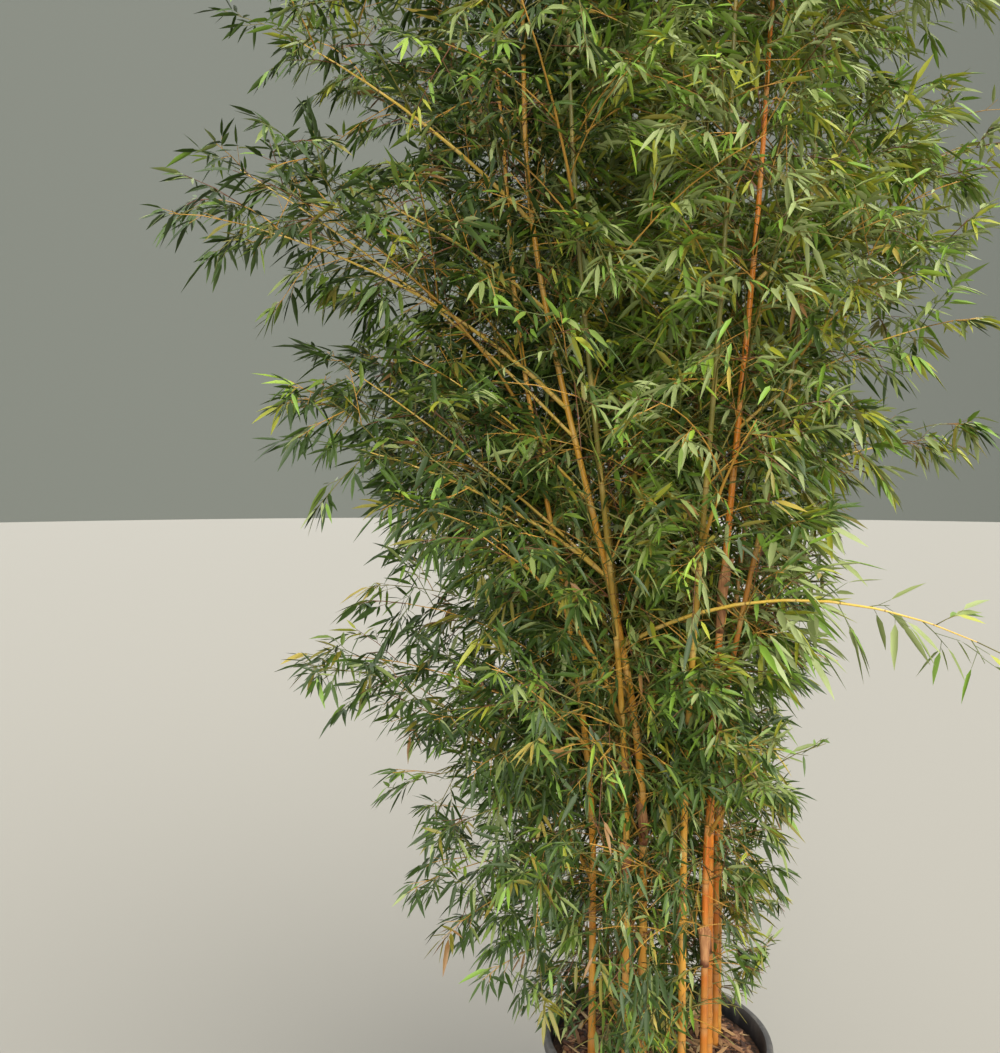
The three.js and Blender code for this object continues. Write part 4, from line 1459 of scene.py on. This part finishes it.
outside = [(0, FOOT_RECESS), (RECESS_RADIUS, FOOT_RECESS), (RECESS_RADIUS + 6, 0), (FOOT_RADIUS - 8, 0)]
outside += [(FOOT_RADIUS - 2.5, 2.2), (FOOT_RADIUS, 8)]
for middle, proud in HOOPS:
    stands_out = ((-HOOP_HALF, -HOOP_SUNK), (-HOOP_FLAT, proud), (HOOP_FLAT, proud), (HOOP_HALF, -HOOP_SUNK))
    for off, relief in stands_out:
        outside.append((wall_at(middle + off) + relief, middle + off))
rim = [
    (wall_at(SKIRT_INSIDE), SKIRT_INSIDE),
    (LIP_RADIUS - 4, SKIRT_INSIDE),
    (LIP_RADIUS - 2.8, 368),
    (LIP_RADIUS - 2.4, SKIRT_FOOT + 0.6),
    (LIP_RADIUS - 1.8, SKIRT_FOOT),
    (LIP_RADIUS - 0.5, SKIRT_FOOT + 0.4),
    (LIP_RADIUS, SKIRT_FOOT + 2),
    (LIP_RADIUS, LIP_FROM),
    (LIP_RADIUS - 1.2, 377),
    (LIP_RADIUS - 4, 379.4),
    (LIP_RADIUS - 7, TUB_HEIGHT),
    (MOUTH_RADIUS + 1, TUB_HEIGHT),
    (MOUTH_RADIUS - 2.6, 378.6),
    (MOUTH_RADIUS - WALL, LIP_FROM),
]
inside_wall = [(FOOT_RADIUS - WALL, TUB_FLOOR), (0, TUB_FLOOR)]
profile = [(radius * MM, height * MM) for radius, height in outside + rim + inside_wall]
tub = new_object("nursery_tub", mesh_from("nursery_tub", turned(profile, TUB_STEPS)))
print("the tub is spun from", len(profile), "points")

# %% Cut the drain slots
DRAIN_SLOTS = 6
DRAIN_BOX = (30, 34, 16)
DRAIN_MIDDLE = 22
SLOT_ROUND = 6
SLOT_BEVEL = {"affect": "EDGES", "segments": 4, "profile": 0.5, "material": -1}
SHARP_FROM = math.radians(32)

bm = bmesh.new()
for i in range(DRAIN_SLOTS):
    turn = Matrix.Rotation(2 * math.pi * (i + 0.5) / DRAIN_SLOTS, 4, "Z")
    move = Matrix.Translation(Vector((FOOT_RADIUS, 0, DRAIN_MIDDLE)) * MM)
    grow = Matrix.Diagonal((*[side * MM for side in DRAIN_BOX], 1))
    bmesh.ops.create_cube(bm, size=1, matrix=turn @ move @ grow)
through_wall = [e for e in bm.edges if abs(e.verts[0].co.z - e.verts[1].co.z) < MERGED]
outward = [e for e in through_wall if abs(e.calc_length() - DRAIN_BOX[0] * MM) < MERGED]
bmesh.ops.bevel(bm, geom=outward, offset=SLOT_ROUND * MM, **SLOT_BEVEL)
cutter = new_object("slot_cutter", mesh_from("slot_cutter", bm))
cut = tub.modifiers.new("slots", "BOOLEAN")
cut.operation = "DIFFERENCE"
cut.object = cutter
cut.solver = "EXACT"
evaluated = tub.evaluated_get(bpy.context.evaluated_depsgraph_get())
slotted = smoothed(bpy.data.meshes.new_from_object(evaluated))
bpy.data.objects.remove(tub)
bpy.data.objects.remove(cutter)
slotted.set_sharp_from_angle(angle=SHARP_FROM)
print("the slotted tub has", len(slotted.polygons), "faces")

# %% [markdown]
# ## The tub's plastic
# Black nursery plastic greys in the sun. Dust lies on the rim and hoops, rain has washed it down the wall in
# faint streaks, and soil splashes the foot. Each of these is a mask over the same near-black colour, and dust
# also makes the gloss duller.

# %% Finish the tub
plastic, wire = new_finish("dusty_black_plastic", Specular_IOR_Level=0.4)
place = object_place(wire)
height = height_of(place)
streaks = place.noise(60, 4, 0.06).step(0.42, 0.78)
clouds = place.noise(9, 4).step(0.35, 0.8)
specks = place.noise(900, 2).step(0.6, 0.72)
rim_dust = height.step(0.335, 0.381)
splash = (1 - height.step(0.01, 0.13)) * clouds
dust = (streaks * 0.35 + clouds * 0.25 + rim_dust * 0.35 + specks * 0.12).step(0.1, 1.1)
scuffs = place.noise(130, 5, 0.3).step(0.68, 0.74)
tone = dust.blend(colour(30, 31, 34), colour(112, 108, 102))
tone = coated(tone, (splash * 0.55, colour(112, 92, 72)), (scuffs * 0.35, colour(150, 146, 140)))
rough = 0.42 + dust * 0.4 + splash * 0.3
wire_up(plastic, Base_Color=tone, Roughness=rough, Normal=(clouds + specks * 0.3).bump(0.2, 0.0006))
hand_over("nursery_tub", slotted, [plastic], ["tub"])

# %% [markdown]
# ## Bark mix
# The tub is filled with coarse bark, darker where it is moist, with dry fallen leaves on top. The bed is a
# spun disc with gentle humps. The chips are separate slabs with broken edges, thrown on it by a seeded draw.

# %% The bed of mix
BED_STEPS = 80
BED_FOOT = TUB_FLOOR + SEAT
BED_RINGS = 22
BED_HUMP = 5.5
# Two waves make the humps: a broad one, and a fine one that runs aslant.
BROAD_WAVE = (31, 27)
BROAD_SHIFT = (1.3, 0.4)
FINE_WAVE = (12, 15)
FINE_SHARE = 0.6
WAVE_SHARE = 0.45
WAVE_SINKS = 0.9
BED_SINKS = 14
BED_EDGE = GROUND - BED_SINKS
BED_GAP = 1.2
FIRST_RING_IN = 3
FIXED_EDGE = 2
TOP_MARGIN = 1
SINKS_FROM = (196, 236)
HUMPS_TO = (236, 200)


def inside_at(height):
    share = (height - TUB_FLOOR) / (LIP_FROM - TUB_FLOOR)
    return lerp(FOOT_RADIUS, MOUTH_RADIUS, share) - WALL - SEAT - BED_GAP


def hump_at(x, y):
    """How far the bed stands above or below its level, in millimetres, at a place in millimetres."""
    broad = np.sin(x / BROAD_WAVE[0] + BROAD_SHIFT[0]) * np.cos(y / BROAD_WAVE[1] - BROAD_SHIFT[1])
    wave = broad + FINE_SHARE * np.sin(x / FINE_WAVE[0] - y / FINE_WAVE[1])
    out = np.hypot(x, y)
    humped = BED_HUMP * (WAVE_SHARE * wave - WAVE_SINKS) * smooth_step(*HUMPS_TO, out)
    return humped - BED_SINKS * smooth_step(*SINKS_FROM, out)


edge_radius = inside_at(BED_EDGE)
profile = [(0, BED_FOOT), (inside_at(BED_FOOT), BED_FOOT), (edge_radius, BED_EDGE)]
for radius in np.linspace(edge_radius - FIRST_RING_IN, 0, BED_RINGS):
    profile.append((radius, GROUND - BED_SINKS * smooth_step(*SINKS_FROM, radius)))
bm = turned([(radius * MM, height * MM) for radius, height in profile], BED_STEPS)
mesh = mesh_from("bark_bed", bm)
places = places_of(mesh) / MM
top = places[:, 2] > BED_EDGE - TOP_MARGIN
free = np.hypot(places[:, 0], places[:, 1]) < edge_radius - FIXED_EDGE
humped = GROUND + hump_at(places[:, 0], places[:, 1])
places[:, 2] = np.where(top & free, humped, places[:, 2])
set_places(mesh, places * MM)
bed_finish, wire = new_finish("moist_bark_bed", Roughness=0.95)
place = object_place(wire)
grain = place.noise(70, 6)
tone = grain.step(0.35, 0.7).blend(colour(46, 32, 24), colour(98, 70, 50))
wire_up(bed_finish, Base_Color=tone, Normal=grain.bump(0.9, 0.006))
hand_over("bark_bed", mesh, [bed_finish], ["potting_mix"])

# %% Bark chips and dry leaves
BED_RADIUS = 234
CHIPS = 1500
CHIP_LONG = (9, 38)
CHIP_WIDE = (0.3, 0.6)
CHIP_THICK = (2.2, 6)
CHIP_RAGGED = (0.6, 1.0)
CHIP_LIFT = (0.5, 5.5)
CHIP_TILT = 0.28
CHIP_INSET = 20
CHIP_TINTS = [(88, 58, 40), (122, 84, 58), (64, 44, 34), (146, 110, 80)]
CHIP_CHANCES = [0.36, 0.26, 0.26, 0.12]
CHIP_FACES = np.array([(0, 2, 6), (0, 6, 4), (1, 5, 7), (1, 7, 3), (0, 1, 3), (0, 3, 2)])
CHIP_FACES = np.concatenate([CHIP_FACES, [(4, 6, 7), (4, 7, 5), (0, 4, 5), (0, 5, 1), (2, 3, 7), (2, 7, 6)]])
LITTER = 260
LITTER_LONG = (55, 90)
LITTER_LIFT = (5, 11)
LITTER_TILT = 0.16
LITTER_INSET = 14
LITTER_WIDE = 0.14
LITTER_FOLD = 0.1
LITTER_ARCH = 0.06
LITTER_TINTS = [(186, 158, 112), (158, 122, 80), (134, 96, 62)]


def thrown(count, widest):
    """Places on the bed, spread evenly over its area."""
    round_at = rng.uniform(0, 2 * math.pi, count)
    out = widest * np.sqrt(rng.uniform(0, 1, count))
    x = out * np.cos(round_at)
    y = out * np.sin(round_at)
    return np.stack([x, y, GROUND + hump_at(x, y)], -1)


def lying(count, tilt):
    """Three axes for each of some small things that lie with a little tilt: along, across and over."""
    way = unit(heading_of(rng.uniform(0, 360, count)) + UP * rng.normal(0, tilt, (count, 1)))
    side = unit(np.cross(UP, way) + UP * rng.normal(0, tilt, (count, 1)))
    over = unit(np.cross(way, side))
    return np.stack([way, np.cross(over, way), over], 1)


corner_signs = np.array([(x, y, z) for x in (-1, 1) for y in (-1, 1) for z in (-1, 1)], float)
axes = lying(CHIPS, CHIP_TILT)
long = rng.uniform(*CHIP_LONG, CHIPS)
sizes = np.stack([long, long * rng.uniform(*CHIP_WIDE, CHIPS), rng.uniform(*CHIP_THICK, CHIPS)], -1) / 2
ragged = corner_signs * rng.uniform(*CHIP_RAGGED, (CHIPS, *corner_signs.shape)) * sizes[:, None]
lift = UP * rng.uniform(*CHIP_LIFT, (CHIPS, 1))
corners = (thrown(CHIPS, BED_RADIUS - CHIP_INSET) + lift)[:, None] + ragged @ axes
faces = repeated(CHIPS, CHIP_FACES, len(corner_signs))
kinds = np.repeat(rng.choice(len(CHIP_TINTS), CHIPS, p=CHIP_CHANCES), len(CHIP_FACES))
mesh = mesh_of_arrays("bark_chips", corners.reshape(-1, 3), faces, kinds)
hand_over("bark_chips", mesh, plain_finishes("bark", enumerate(CHIP_TINTS), 0.9))

axes = lying(LITTER, LITTER_TILT)
sizes = rng.uniform(*LITTER_LONG, LITTER)[:, None]
far, side, rise = BLADE.T
shape = np.stack([far, side * LITTER_WIDE, -rise * LITTER_FOLD - LITTER_ARCH * (far - 0.5) ** 2], -1)
spots = thrown(LITTER, BED_RADIUS - LITTER_INSET) + UP * rng.uniform(*LITTER_LIFT, (LITTER, 1))
corners = spots[:, None] + shape * sizes[:, None] @ axes
corners = corners[(np.hypot(corners[..., 0], corners[..., 1]) < BED_RADIUS).all(1)]
faces = repeated(len(corners), BLADE_FACES, len(BLADE))
kinds = np.repeat(rng.integers(0, len(LITTER_TINTS), len(corners)), len(BLADE_FACES))
mesh = mesh_of_arrays("dry_litter", corners.reshape(-1, 3), faces, kinds)
hand_over("dry_litter", mesh, plain_finishes("litter", enumerate(LITTER_TINTS), 0.8))
